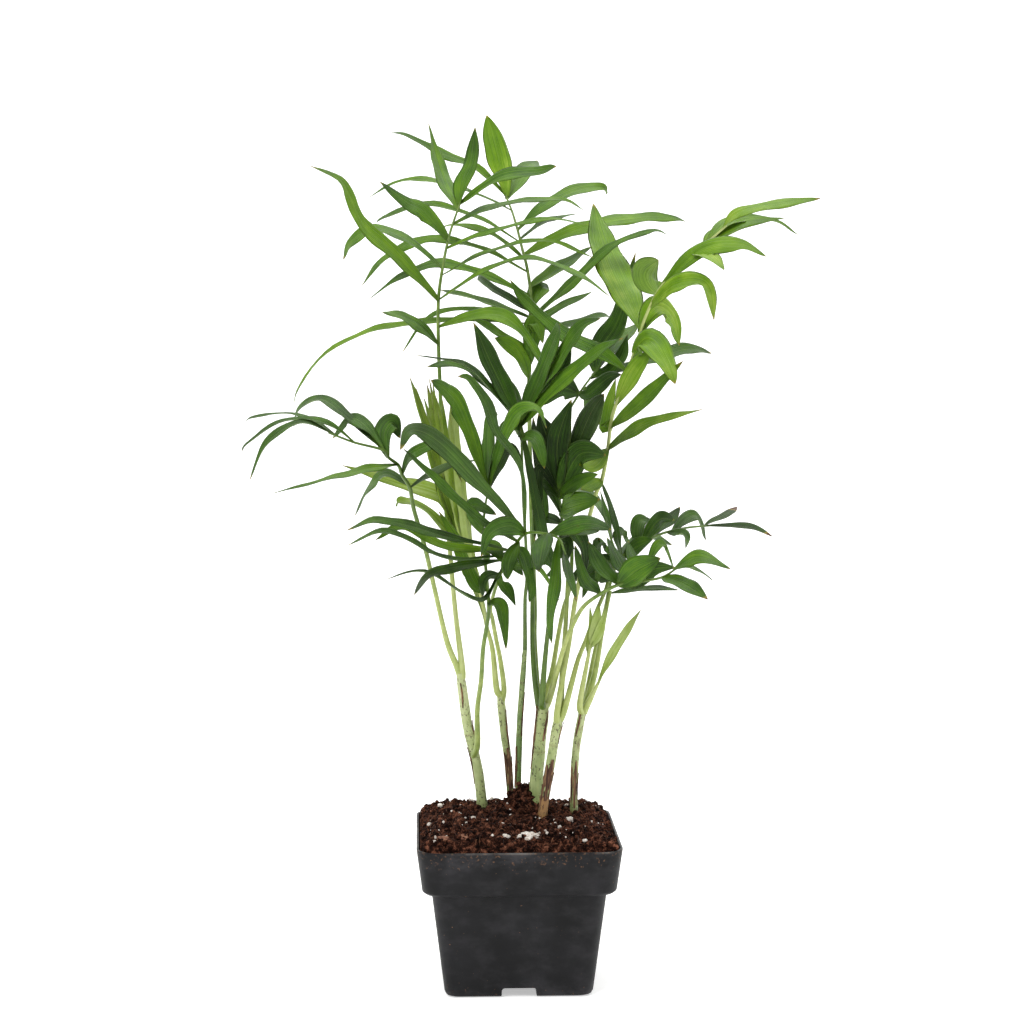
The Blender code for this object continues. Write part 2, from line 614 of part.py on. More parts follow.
def make_fronds(parts):
    for name, (drawn, leaflets) in FRONDS.items():
        finish = "leaf_young" if name in YOUNG_FRONDS else "leaf"
        rachis = [place(*point) for point in drawn]
        last = len(rachis) - 1
        thinner = (RACHIS_TIP_RADIUS - PETIOLE_RADIUS) / last
        radii = [(PETIOLE_RADIUS + thinner * i) * GROWTH for i in range(last + 1)]
        frond = add_tube(name, rachis, radii, 1, finish, parts)
        blades = new_collection(name + "_blades", True)
        for number, (at, width, turn, out, *passes) in enumerate(leaflets):
            at = min(at, last - TIP_GAP)
            depth = drawn[int(at)][1] + (drawn[int(at) + 1][1] - drawn[int(at)][1]) * (at - int(at))
            points = [along(rachis, at)]
            for step, (x, z) in enumerate(passes, 1):
                points.append(place(x, depth + SWING * out * step / len(passes), z))
            size = width * MM * GROWTH
            thickness = BLADE_THICKNESS * GROWTH
            add_blade(f"{name}_{number}", points, size, thickness, math.radians(turn), finish, blades)
        add_boolean(frond, "UNION", blades)


def main():
    clear_scene()
    for name, (colour, roughness) in FINISHES.items():
        new_material(name, colour, roughness)
    parts = new_collection("parlor_palm", False)
    pockets = new_collection("soil_pockets", True)
    make_pot(parts)
    make_stems(parts, pockets)
    make_grains(parts, pockets)
    make_soil(parts, pockets)
    make_sheaths(parts)
    make_fronds(parts)


main()
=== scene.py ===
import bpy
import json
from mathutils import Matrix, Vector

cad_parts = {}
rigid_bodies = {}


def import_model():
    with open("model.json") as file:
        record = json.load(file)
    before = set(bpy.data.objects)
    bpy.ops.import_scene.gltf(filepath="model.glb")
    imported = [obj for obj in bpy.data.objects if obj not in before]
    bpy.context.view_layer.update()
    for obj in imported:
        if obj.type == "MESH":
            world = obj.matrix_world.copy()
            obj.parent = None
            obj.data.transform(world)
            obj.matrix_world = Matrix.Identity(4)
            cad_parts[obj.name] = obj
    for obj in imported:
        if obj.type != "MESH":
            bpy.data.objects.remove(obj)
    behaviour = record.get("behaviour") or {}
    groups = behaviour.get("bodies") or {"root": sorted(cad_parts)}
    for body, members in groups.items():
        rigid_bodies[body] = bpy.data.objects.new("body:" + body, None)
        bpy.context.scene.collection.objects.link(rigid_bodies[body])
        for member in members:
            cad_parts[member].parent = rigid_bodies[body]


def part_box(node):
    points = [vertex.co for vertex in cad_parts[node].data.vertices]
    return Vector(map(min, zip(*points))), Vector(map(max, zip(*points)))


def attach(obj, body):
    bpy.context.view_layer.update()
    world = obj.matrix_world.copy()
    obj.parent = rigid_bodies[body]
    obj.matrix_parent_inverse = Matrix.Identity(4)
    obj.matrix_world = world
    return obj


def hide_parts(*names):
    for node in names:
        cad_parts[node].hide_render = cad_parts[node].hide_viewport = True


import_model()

"""The looks of a potted parlor palm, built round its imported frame.

Metres, +Z up, origin in the middle of the pot's base. The plant follows the same layout as the frame's
solids: a front elevation in millimetres, where each point has an x, a depth y away from the viewer and
a z, and each leaflet starts on its rachis at a place counted in rachis points.
"""

import json
import math
import random
from functools import partial

import bmesh
import bpy
from bpy.props import FloatProperty, IntProperty, PointerProperty, StringProperty
from mathutils import Matrix, Vector, noise

bl_info = {
    "name": "Potted Parlor Palm",
    "version": (1, 0, 0),
    "blender": (4, 5, 0),
    "location": "3D View > Sidebar > Palm",
    "description": "Builds the fronds, canes, soil, pot and studio of a potted parlor palm",
    "category": "Add Mesh",
}

MM = 0.001
BODY = "root"
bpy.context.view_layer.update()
POT_LOW, POT_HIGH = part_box("pot")
POT_HEIGHT = POT_HIGH.z
POT_RIM_WIDTH = POT_HIGH.x - POT_LOW.x

# The layout of the plant
DRAWN_RIM = 79  # the rim's height in the layout, mm
DRAWN_CENTRE = -1.4  # the pot's middle in the layout, mm
EYE = Vector((-53, -1223, 358))  # the layout's outline holds from here, mm
CLUMP_DEPTH = 8  # mm
DEPTH_SPREAD = 1.6  # how much deeper the clump is than drawn, about that depth
SWING = 1.5  # how much further a leaflet's tip swings than drawn

# Blades, petioles and canes
BLADE_BASE = 0.2  # a blade's width where it leaves the rachis, as a share of its full width
BLADE_WIDEST = 0.42  # where along its length a blade is widest
BLADE_TIP = 0.025  # its least width, as a share of its full width
BLADE_FULLNESS = 1.13  # a blade laid flat, against its width as drawn folded
TIP_FULLNESS = 0.8  # under 1, a blade stays broad for longer towards its tip
BLADE_TWIST = 26  # the most that a blade twists from base to tip, degrees
TWIST_CENTRE = 0.35  # where along its length a blade faces as drawn
BLADE_ARCH = (-0.12, 0.2)  # the least and most rise of a blade's edges, as shares of half its width
USUAL_BLADE_WIDTH = 11 * MM
STALK_STATION = 2 * MM  # between the cross-sections of a petiole
YOUNG_PETIOLE_TONE = 0.62
CANE_STATION = 0.5 * MM
LAST_SCAR = 140  # leaf scars stop this far up a cane, mm
CORKY_CANE = "stem_e"
CORKY_TO = 30  # how far up that cane its foot is bare and tan, mm
HUSK_SPANS = 26
# A sheath's strips: the side of the cane, the share of its width, and where on it they start and end.
SHEATH_STRIPS = ((0, 1, 0, 1), (-0.9, 0.8, 0.1, 0.85), (0.8, 0.7, 0.05, 0.7))

# Soil and pot
SOIL_BELOW_RIM = 1.5 * MM
SOIL_BED_DEPTH = 14 * MM
SOIL_MOUND = 9.5 * MM
SOIL_LUMP_HEIGHT = 14 * MM
SOIL_LUMP_RADIUS = 10 * MM
SOIL_LUMP_PLACE = Vector((5, 12)) * MM
SOIL_UNEVEN = 1.2 * MM
SOIL_RINGS = 46
FIBRE_LENGTH = (2, 8)  # the least and most of a root strand, mm
FIBRE_RADIUS = (0.1, 0.24)
FIBRE_BEND = 0.22  # the most that it turns at each of its points, radians
FIBRE_SPANS = 8
SPECK_SIZE = (0.6, 1.5)  # of the finest perlite, mm
# Each layer of lumps: how fine its spheres are, the spacing, the least and most radius and the roughness, mm.
SOIL_LAYERS = (("soil_clods", 2, 3.0, 0.9, 2.6, 1.9), ("soil_crumbs", 1, 1.2, 0.35, 0.95, 0.7))
RIM_CORNER = 11 * MM
BASE_CORNER = 6 * MM
BASE_ROUND = 3 * MM
POT_BASE_WIDTH = 77 * MM
BAND_HEIGHT = 23.5 * MM
BAND_STEP = 4.8 * MM
BAND_TAPER = 2.9 * MM
NOTCH_WIDTH = 18 * MM
NOTCH_DEPTH = 18 * MM
NOTCH_HEIGHT = 5 * MM
ROUNDED_EDGES = math.radians(32)  # the pot's edges sharper than this are rounded
SHARP_EDGES = math.radians(40)  # and those sharper than this are not shaded smooth
# Each grain on the soil: its solid, its slot, the lumps it is made of and how rough they are.
GRAINS = (
    ("perlite_large", "perlite", 5, 0.3), ("perlite_small", "perlite", 2, 0.3),
    ("perlite_rear", "perlite", 2, 0.3), ("bark_chip_red", "bark", 1, 0.25),
    ("bark_chip_dark", "bark", 1, 0.25),
)
# Small perlite grains: x, y and length in mm.
PERLITE_CRUMBS = (
    (-40, 25, 2.6), (-23, 31, 3), (-23, -14, 2.2), (-8, -23, 2), (-46, -4, 2), (19, -19, 2.6), (21, -32, 2.2),
    (27, -18, 3), (42, -15, 2), (33, -46, 2.4), (-43, -43, 2), (36, 20, 2.4), (-12, 38, 2.4), (10, 42, 2),
    (-34, 8, 1.8), (44, 34, 2), (14, -40, 1.6), (-14, -42, 1.8),
)

# The studio, in metres and watts
SWEEP_NEAR, SWEEP_FAR, SWEEP_BEND, SWEEP_HIGH, SWEEP_HALF_WIDTH = -3.0, 1.5, 0.6, 3.2, 4.0
# Each light's place, size and strength.
LIGHTS = (
    ("key_light", (-1.0, -1.2, 1.6), 0.8, 25), ("fill_light", (1.5, -0.9, 0.9), 1.2, 9),
    ("top_light", (0.2, 0.5, 1.9), 1.0, 18),
)
LIGHT_AIM = Vector((0, 0, 0.2))
SKY_STRENGTH = 0.4
CAMERA_LENS, CAMERA_SENSOR = 82.9, 36  # mm
CAMERA_PLACE = (-0.0516, -1.223, 0.358)
CAMERA_TURN = (5.16, 2.3, 0.05)  # down, to the right, and about its own line of sight, degrees

# Each stem: its radius at the foot and at the top in mm, and its points from the soil up.
STEMS = {
    "stem_a": (2.9, 2.6, [(-19, 15, 86), (-21, 15, 106), (-24, 14, 122), (-27, 14, 134), (-29, 13, 148),
                          (-31, 12, 163)]),
    "stem_b": (1.8, 2.3, [(-4, 20, 90), (-6, 19, 117), (-8, 18, 132), (-10, 16, 152)]),
    "stem_c": (2.1, 1.4, [(-1, 12, 92), (0, 11, 127), (1, 10, 148), (3, 8, 175)]),
    "stem_d": (3.6, 3.5, [(9, 8, 86), (9, 8, 103), (10, 8, 117), (11, 8, 130), (13, 8, 147)]),
    "stem_e": (2.5, 2.5, [(12, -1, 82), (14, 0, 100), (17, 0, 117), (19, 1, 130), (21, 2, 139)]),
    "stem_f": (2.0, 2.2, [(29, 8, 84), (29, 8, 106), (30, 8, 122), (32, 8, 135), (34, 8, 145)]),
}

# Each frond: the points of its petiole and rachis, then its leaflets. A leaflet is where it starts on the
# rachis, its width, how far its upper face is turned to the viewer in degrees, how far back its tip
# swings, and the (x, z) points that it passes. The last leaflets of a frond may be ones that fill the heart
# of the clump and are too close to their neighbours to be part of a solid.
FRONDS = {
    "frond_a1": (
        [(-33, 12, 167), (-38, 9, 180), (-44, 2, 206), (-49, -6, 228), (-55, -14, 249), (-57, -20, 260),
         (-61, -23, 267), (-63, -26, 272), (-68, -30, 276), (-71, -33, 280), (-86, -38, 284),
         (-99, -43, 289)],
        [(5, 9, 20, -6, (-39, 271), (-20, 275)), (6, 10, 30, -14, (-55, 278), (-39, 282), (-30, 263)),
         (8, 12, 55, 4, (-70, 288), (-66, 294), (-62, 286)),
         (9, 11, 30, 10, (-80, 292), (-88, 296), (-97, 286)),
         (9, 10, 25, 26, (-91, 298), (-103, 306), (-114, 301), (-117, 291)),
         (11, 9, 15, -12, (-114, 294), (-131, 283), (-140, 264)),
         (10, 9, 12, -8, (-101, 294), (-122, 295), (-140, 284), (-144, 279)),
         (11, 8, 8, 14, (-107, 295), (-120, 299), (-138, 297), (-143, 293)),
         (7, 9, 18, -30, (-78, 270), (-99, 265), (-130, 257)),
         (5.2, 10, 25, 18, (-70, 267), (-79, 259), (-86, 245))],
    ),
    "frond_a2": (
        [(-30, 12, 166), (-33, 13, 191), (-35, 12, 212), (-37, 11, 236), (-40, 13, 270), (-41, 13, 306),
         (-42, 12, 334), (-42, 12, 357), (-40, 12, 373), (-37, 14, 388), (-34, 17, 398), (-30, 20, 409)],
        [(6, 11, 25, -20, (-52, 344), (-62, 349), (-71, 351)),
         (7, 12, 35, -24, (-57, 373), (-70, 386), (-81, 396), (-88, 411), (-94, 420), (-108, 426)),
         (8, 11, 25, 16, (-57, 387), (-74, 394), (-87, 387), (-91, 378)),
         (9, 12, 40, -8, (-49, 402), (-58, 407), (-72, 418)),
         (10.5, 12, 40, 18, (-39, 416), (-43, 429), (-47, 448)),
         (11, 12, 40, 6, (-29, 419), (-25, 429), (-23, 446)),
         (11, 11, 30, -10, (-10, 420), (10, 423), (19, 426)),
         (9.8, 10, 20, 14, (-10, 406), (21, 409), (37, 401)),
         (8.7, 10, 15, -16, (-16, 392), (13, 399), (36, 396)),
         (7.8, 9, 10, 10, (-16, 382), (13, 388), (39, 379)),
         (7, 10, 12, -18, (-18, 372), (5, 379), (31, 370), (47, 359)),
         (6.4, 12, 32, -6, (-23, 349), (-10, 349), (0, 342), (9, 329), (14, 319))],
    ),
    "frond_a3": (
        [(-22, 10, 125), (-22, 6, 143), (-20, 2, 159), (-19, -2, 175), (-17, -6, 188), (-16, -9, 197),
         (-17, -14, 212), (-18, -18, 223), (-19, -22, 236), (-18, -26, 249), (-16, -30, 261)],
        [(10, 12, 38, -14, (-30, 298), (-38, 310), (-46, 316)), (10, 11, 30, 4, (-16, 291), (-13, 301)),
         (9.8, 11, 30, -12, (-8, 285), (0, 299), (9, 300), (14, 291)),
         (5.6, 11, 30, -4, (-23, 209), (-29, 223), (-33, 233), (-42, 248)),
         (5.2, 10, 35, -6, (-11, 198), (-9, 190), (-7, 175)), (8, 10, 35, -8, (-24, 250), (-12, 246)),
         (7, 9, 35, -10, (-14, 228), (-8, 220))],
    ),
    "frond_b1": (
        [(-12, 15, 155), (-14, 13, 175), (-17, 11, 187), (-19, 9, 197), (-22, 6, 209), (-26, 3, 223)],
        [(5, 10, 30, -8, (-39, 254), (-48, 291), (-57, 318)),
         (5, 9, 25, -1, (-36, 258), (-44, 285), (-50, 308)),
         (5, 10, 45, -3, (-35, 244), (-43, 285), (-48, 314)),
         (5, 10, 45, -10, (-31, 244), (-40, 285), (-44, 309)),
         (4.2, 10, 50, -6, (-29, 238), (-34, 285), (-35, 312)),
         (5, 11, 35, -4, (-38, 249), (-43, 257), (-60, 262), (-73, 266), (-92, 272)),
         (5, 9, 20, 6, (-47, 247), (-61, 253), (-64, 251)), (2, 8, 40, -4, (-27, 222), (-29, 214)),
         (3, 4, 60, -15, (-33, 240), (-41, 284), (-47, 318)),
         (4, 4, 60, -14, (-36, 250), (-47, 289), (-54, 313)),
         (3.6, 4, 60, -16, (-30, 238), (-37, 280), (-40, 306)),
         (3, 4, 60, -17, (-27, 228), (-33, 270), (-36, 298)),
         (4.6, 3.4, 60, -16, (-34, 252), (-42, 290), (-45, 316))],
    ),
    "frond_b2": (
        [(-8, 15, 155), (-10, 11, 170), (-12, 6, 180), (-14, 2, 191), (-15, -1, 198), (-10, -14, 215),
         (-4, -28, 227), (3, -40, 236), (14, -48, 236), (21, -54, 233), (24, -58, 225)],
        [(7, 12, 45, -16, (-21, 262), (-42, 284), (-56, 290), (-62, 280)),
         (6.5, 10, 25, -20, (-22, 244), (-47, 267), (-61, 281)),
         (7, 12, 50, -10, (-5, 240), (-15, 236), (-20, 224)), (6.5, 11, 40, -8, (-5, 222), (-6, 212)),
         (8.2, 12, 40, -8, (34, 241), (48, 238)), (8, 12, 45, -14, (12, 228), (10, 216)),
         (9, 11, 35, 10, (31, 238), (42, 238)), (6, 9, 25, -4, (-2, 219), (10, 217), (22, 199)),
         (9, 10, 35, -6, (19, 212), (16, 191), (17, 178)), (10, 9, 35, -10, (25, 215), (30, 200)),
         (6, 10, 20, -30, (-37, 234), (-57, 240), (-75, 243), (-90, 238)),
         (6, 10, 25, -8, (-37, 229), (-60, 240), (-75, 233)),
         (5.8, 8, 10, -40, (-37, 223), (-68, 237), (-90, 230)),
         (5.2, 8, 10, -20, (-21, 201), (-49, 216), (-71, 212)),
         (5.6, 9, 25, -26, (-30, 219), (-47, 214), (-55, 204)),
         (7, 10, 28, -14, (0, 270), (-12, 288), (-18, 304), (-26, 316), (-32, 318)),
         (5, 10, 30, -4, (-10, 211), (-6, 205), (-2, 198)), (5.5, 10, 40, -4, (-5, 222), (2, 214)),
         (5, 9, 35, -8, (-17, 212), (-19, 203)), (6.2, 10, 40, -6, (2, 224), (6, 208), (5, 200))],
    ),
    "frond_c1": (
        [(3, 8, 177), (3, 5, 201), (4, 3, 217), (2, -4, 254), (1, -10, 285), (0, -13, 296)],
        [(5, 13, 45, -4, (-10, 314), (-17, 329), (-24, 346)), (5, 11, 45, 6, (-4, 308), (-8, 319)),
         (4.9, 10, 22, -8, (-21, 317), (-34, 324), (-48, 323)),
         (5, 9, 12, -14, (-16, 312), (-29, 324), (-54, 329)),
         (5, 12, 35, -8, (10, 316), (19, 339), (21, 345)),
         (4.8, 11, 25, -16, (18, 322), (31, 342), (42, 348)),
         (4.6, 11, 30, -20, (16, 309), (39, 329), (54, 338)), (6, 8, 50, -6, (13, 230), (17, 218), (14, 214)),
         (5, 9, 40, -6, (12, 310), (22, 322), (27, 334)),
         (3.6, 8, 35, -14, (-5, 280), (-11, 270), (-15, 260)), (4.4, 10, 40, -10, (-5, 291), (-12, 284)),
         (4.2, 10, 45, -8, (8, 284), (13, 270))],
    ),
    "frond_d1": (
        [(10, 10, 149), (8, 14, 180), (8, 17, 201), (6, 24, 254), (5, 32, 306), (5, 40, 342), (6, 45, 357),
         (4, 50, 373), (1, 54, 385), (-1, 57, 393), (-4, 60, 403), (-8, 64, 413)],
        [(11, 14, 60, 6, (-12, 434), (-17, 452)), (10.6, 12, 50, 18, (3, 424), (9, 429)),
         (9, 11, 32, 14, (13, 405), (29, 413), (42, 415), (45, 412)),
         (7.6, 12, 35, 20, (21, 390), (42, 397), (62, 400), (79, 400), (86, 398)),
         (6.4, 11, 28, 16, (21, 374), (37, 385)),
         (5.2, 10, 20, -20, (15, 355), (29, 368), (47, 385), (68, 393), (77, 391)),
         (5.1, 10, 24, 6, (23, 355), (38, 362)), (5, 9, 15, 22, (21, 343), (42, 349), (48, 348)),
         (10.8, 11, 25, -12, (-23, 425), (-42, 433), (-57, 441), (-67, 443)),
         (10, 9, 12, 18, (-21, 411), (-44, 418), (-62, 418), (-79, 409)),
         (8.2, 9, 15, -12, (-21, 399), (-47, 406), (-68, 400), (-74, 397)),
         (6.9, 10, 22, 18, (-21, 384), (-47, 389), (-70, 379), (-82, 364)),
         (6.1, 11, 25, -8, (-16, 369), (-39, 376), (-60, 370), (-79, 357)),
         (5.6, 10, 24, -14, (-16, 364), (-22, 368)), (5.4, 9, 20, 14, (-23, 358), (-43, 363)),
         (4.9, 9, 20, -10, (-10, 350), (-34, 353), (-49, 347), (-61, 330)),
         (5.2, 7, 22, -18, (-31, 347), (-57, 345), (-78, 341), (-101, 329), (-114, 312), (-117, 303)),
         (4.7, 10, 22, -10, (-13, 341), (-25, 348)), (5.6, 11, 50, 8, (10, 363), (14, 366)),
         (4.5, 11, 55, -6, (8, 345), (12, 335)), (4.3, 12, 40, -6, (-2, 331), (-13, 338)),
         (7.4, 9, 20, 12, (-16, 392), (-34, 396), (-46, 392)), (8.4, 8, 18, 14, (14, 398), (30, 402))],
    ),
    "frond_d2": (
        [(12, 5, 149), (14, 4, 175), (17, 3, 201), (22, 3, 238), (21, 3, 254), (21, 3, 260)],
        [(5, 16, 75, 2, (16, 280), (10, 299)), (5, 12, 50, -4, (36, 296), (44, 309)),
         (5, 14, 60, -8, (31, 277), (45, 277)), (4.2, 11, 35, -10, (30, 262), (41, 267)),
         (3.6, 13, 45, -14, (29, 251), (42, 254)), (5, 13, 60, -2, (20, 284), (27, 306)),
         (3.5, 9, 40, 6, (14, 262), (9, 278), (7, 297)), (3, 11, 45, -8, (27, 238), (33, 228), (34, 214)),
         (2.6, 10, 40, -6, (24, 230), (23, 216)), (3.2, 9, 40, 6, (12, 244), (7, 240)),
         (4.3, 7, 60, -6, (11, 270), (9.5, 255), (8, 232)),
         (4.1, 6, 60, 4, (12, 262), (12.5, 246), (11, 234))],
    ),
    "frond_d3": (
        [(13, 12, 149), (17, 14, 162), (20, 15, 180), (23, 17, 196), (27, 20, 212), (27, 24, 243),
         (24, 28, 270), (22, 31, 291), (31, 36, 309), (42, 42, 324)],
        [(9, 13, 50, 8, (42, 332), (52, 349), (60, 382)), (9, 12, 40, 20, (50, 336), (62, 346)),
         (8.5, 11, 30, 24, (68, 326), (88, 332), (100, 330)), (8, 13, 60, -4, (20, 312), (11, 303)),
         (8.2, 13, 60, 6, (38, 303), (42, 293)), (8, 10, 40, -4, (36, 309), (46, 317), (53, 319)),
         (8.6, 10, 40, 6, (46, 320), (53, 328), (56, 340)), (4, 10, 45, -6, (34, 216), (40, 224), (42, 234))],
    ),
    "frond_d4": (
        [(16, 8, 149), (20, 4, 164), (24, -2, 178), (29, -8, 190), (34, -14, 198), (42, -20, 204),
         (52, -27, 209), (65, -33, 211), (75, -38, 213), (83, -42, 218)],
        [(6, 14, 65, -8, (62, 217), (74, 223)), (9, 11, 25, -10, (94, 223), (111, 217)),
         (9, 8, 10, 8, (91, 218), (102, 211)), (8, 11, 30, -16, (86, 209), (99, 201)),
         (7, 8, 20, 10, (74, 230), (81, 217)), (6, 11, 50, 10, (43, 218), (36, 232)),
         (6.5, 11, 50, 12, (52, 222), (46, 234)), (5, 10, 45, 8, (34, 212), (29, 230)),
         (7, 10, 45, 10, (60, 222), (57, 232))],
    ),
    "frond_e1": (
        [(20, 1, 142), (23, 4, 161), (26, 6, 178), (29, 8, 199), (32, 9, 215), (35, 10, 238), (40, 10, 257),
         (43, 10, 264), (46, 9, 280), (48, 8, 296), (53, 7, 311), (59, 6, 329), (65, 5, 348), (73, 4, 364),
         (86, 2, 377), (98, 0, 388), (107, -2, 396)],
        [(8, 12, 32, -20, (65, 293), (96, 301)), (8.7, 13, 45, -14, (65, 306), (85, 326)),
         (9.5, 13, 60, -6, (60, 322), (68, 331)), (11, 12, 50, -16, (67, 336), (75, 326), (81, 314)),
         (11.6, 12, 50, 10, (71, 353), (79, 348), (83, 334)),
         (12.4, 12, 40, -20, (81, 365), (96, 365), (101, 347)), (12.8, 13, -55, 6, (67, 370), (72, 378)),
         (13, 12, 40, -14, (94, 383), (114, 386), (128, 380)), (14.4, 11, 35, -14, (98, 380), (106, 373)),
         (15, 10, 28, 14, (109, 398), (130, 399), (145, 391)),
         (16, 10, 25, -6, (115, 403), (140, 408), (156, 410)),
         (11.7, 15, 65, 30, (53, 363), (43, 386), (38, 407)),
         (10.5, 12, 40, 6, (42, 330), (21, 341), (3, 357), (-5, 368)), (8, 10, 50, -10, (38, 272), (31, 272)),
         (7, 9, 50, -6, (37, 261), (32, 259)), (9, 8, 50, 3, (45, 292), (47, 304), (50, 317)),
         (14.8, 11, 35, 6, (103, 392), (118, 398), (138, 400))],
    ),
    "frond_e2": (
        [(23.5, 2, 142), (28, 4, 159), (31, 6, 170), (35, 8, 180), (40, 11, 194), (45, 14, 206),
         (50, 18, 220), (62, 22, 230), (75, 25, 236), (88, 28, 239), (100, 30, 240)],
        [(6.3, 10, 25, 4, (48, 249), (43, 263)), (7, 12, 50, 8, (63, 242), (70, 243)),
         (7.2, 12, 45, -10, (73, 243), (81, 243)), (8.4, 12, 35, 14, (92, 245), (98, 232)),
         (8.2, 9, 35, -12, (86, 235), (87, 228)), (10, 9, 20, 12, (108, 246), (114, 250)),
         (10, 9, 20, -8, (120, 239), (133, 234)), (6, 10, 25, -10, (42, 231), (40, 215)),
         (6.3, 10, 25, 14, (53, 236), (60, 226)), (6, 11, 40, -8, (44, 221), (39, 206)),
         (5.4, 10, 35, -8, (38, 212), (33, 202)), (7.6, 10, 40, 10, (78, 243), (84, 250)),
         (6.4, 13, 45, -6, (62, 229), (70, 233)), (5.6, 14, 45, -8, (60, 211), (71, 217), (82, 218))],
    ),
    "frond_f1": (
        [(35, 10, 147), (36, 12, 153), (40, 17, 175), (45, 24, 196), (48, 31, 212), (51, 37, 222),
         (48, 42, 233), (44, 46, 246)],
        [(6, 9, 20, 6, (45, 243), (42, 259)), (3.5, 8, 10, -14, (68, 207), (84, 206)),
         (5, 10, 20, 22, (66, 234), (80, 230)), (7, 10, 25, 20, (36, 256), (26, 260))],
    ),
    "spear_f": (
        [(32, 5, 147), (36, 2, 170), (38, 1, 180)],
        [(2, 6, 40, -2, (40, 188), (42, 199)), (1.6, 6, 40, -6, (42, 184), (47, 201)),
         (1.2, 5.5, 40, 4, (38, 184), (37, 198))],
    ),
    "blade_f": (
        [(37, 6, 148), (43, 3, 160)],
        [(1, 6.5, 30, -14, (49, 172), (57, 185), (64, 196))],
    ),
}

# Each old sheath: its stem, its width in mm, and where it starts and ends on the stem, in stem points.
SHEATHS = {
    "sheath_b": ("stem_b", 4, 0.35, 1.4),
    "sheath_e": ("stem_e", 5, 0.7, 2),
    "sheath_f": ("stem_f", 3, 0.3, 1.6),
}
# Torn sheath edges: the cane, the width in mm, where on the cane it starts and ends, and the side it is on.
SCRAPS = (
    ("stem_a", 3.2, 2.3, 3.3, 1.05), ("stem_a", 2.6, 0.9, 2.2, -1.35), ("stem_a", 1.8, 3.8, 4.7, -0.4),
    ("stem_d", 3.4, 1.6, 3.9, -1.3), ("stem_d", 2.6, 2.8, 3.8, 0.5), ("stem_d", 2.6, 0.2, 1.2, 0.95),
    ("stem_e", 3, 2.6, 3.8, 1.1), ("stem_f", 2.2, 2.5, 3.7, -0.7), ("stem_c", 2.6, 0.1, 0.9, -1.0),
    ("stem_c", 2, 1.1, 2.2, 0.6), ("stem_b", 2.6, 1.3, 2.6, 0.7), ("stem_e", 2.2, 0.3, 1.2, -1.1),
)

# Where each petiole leaves its cane, a point of the layout inside the cane.
PETIOLE_ROOTS = {
    "frond_a1": (-31, 12, 162), "frond_a2": (-30, 12, 160), "frond_a3": (-24, 13.5, 119),
    "frond_b1": (-10, 16, 151), "frond_b2": (-9, 16.5, 148), "frond_c1": (2.5, 8.5, 171),
    "frond_d1": (12.5, 8.5, 144), "frond_d2": (12.5, 7.5, 144), "frond_d3": (12.5, 8.5, 142),
    "frond_d4": (13, 8, 143), "frond_e1": (20, 1.5, 135), "frond_e2": (20.5, 2, 136),
    "frond_f1": (33.5, 8.5, 142), "spear_f": (33, 8, 141), "blade_f": (34, 8, 142),
}
# Old petioles whose blades are gone: the frond they stand by, and their points.
SPARE_PETIOLES = {
    "frond_c1": [(11.2, 8.3, 139), (8.4, 8.8, 158), (7, 9.5, 178), (7, 10, 208), (7.4, 9.5, 240),
                 (8.4, 9, 262)],
    "frond_d3": [(20.6, 2.4, 135), (21.8, 4, 148), (23, 6, 168), (24.4, 8, 190), (25.4, 9, 212)],
    "frond_f1": [(33.8, 8.1, 141), (37, 8.6, 152), (40.5, 9.6, 166), (44, 11.5, 188), (47.5, 13, 206)],
}
YOUNG_FRONDS = ("frond_b1", "frond_e1", "spear_f", "blade_f")

# How light each frond's blades are, 0 the darkest green to 1 the palest.
FROND_TONES = {
    "frond_a1": 0.2, "frond_a2": 0.34, "frond_a3": 0.26, "frond_b1": 0.73, "frond_b2": 0.16, "frond_c1": 0.2,
    "frond_d1": 0.36, "frond_d2": 0.05, "frond_d3": 0.16, "frond_d4": 0.26, "frond_e1": 0.51,
    "frond_e2": 0.16, "frond_f1": 0.2, "spear_f": 0.85, "blade_f": 0.8,
}
# Petioles that differ from their blades: the share of the usual paleness.
PETIOLE_TONES = {"frond_c1": 0.25, "frond_d1": 0.5, "frond_a3": 0.72, "frond_d2": 0.5, "frond_f1": 0.85}
# Petioles slimmer than the rest: the share of their radius.
PETIOLE_GIRTHS = {"frond_c1": 0.78, "frond_b2": 0.92}
# Canes that differ from the rest: their tone, 0.45 the usual one.
CANE_TONES = {"stem_c": 0.02, "stem_b": 0.3, "stem_d": 0.36}
# How broad some fronds' blades are, as a share of their drawn width.
FROND_BREADTHS = {"frond_e2": 0.72, "frond_a1": 0.86, "frond_b2": 0.84, "frond_d4": 0.88, "frond_e1": 0.94}

# By frond and the leaflet's number on it: blades broader or narrower than drawn, as a share of that width,
BLADE_BREADTHS = {
    "frond_b1": {0: 0.85, 1: 0.85, 2: 0.85, 3: 0.85, 4: 0.9}, "frond_d1": {15: 0.6}, "frond_d2": {10: 0.8},
    "frond_e1": {0: 0.72, 1: 0.66, 2: 0.72, 3: 1.25, 4: 1.15, 6: 1.5, 11: 1.2},
}
# blades that differ from their frond, with their tone,
BLADE_TONES = {
    "frond_a1": {8: 0.36}, "frond_a2": {11: 0.4}, "frond_a3": {2: 0.3},
    "frond_b1": {8: 0.86, 9: 0.66, 10: 0.62, 11: 0.84, 12: 0.78}, "frond_b2": {7: 0.4, 11: 0.44},
    "frond_c1": {6: 0.3, 7: 0.1}, "frond_d1": {0: 0.52, 13: 0.08, 16: 0.46},
    "frond_d2": {2: 0.2, 3: 0.3, 4: 0.34}, "frond_d3": {1: 0.3}, "frond_d4": {0: 0.24},
    "frond_e1": {6: 0.5, 11: 0.5, 12: 0.34},
}
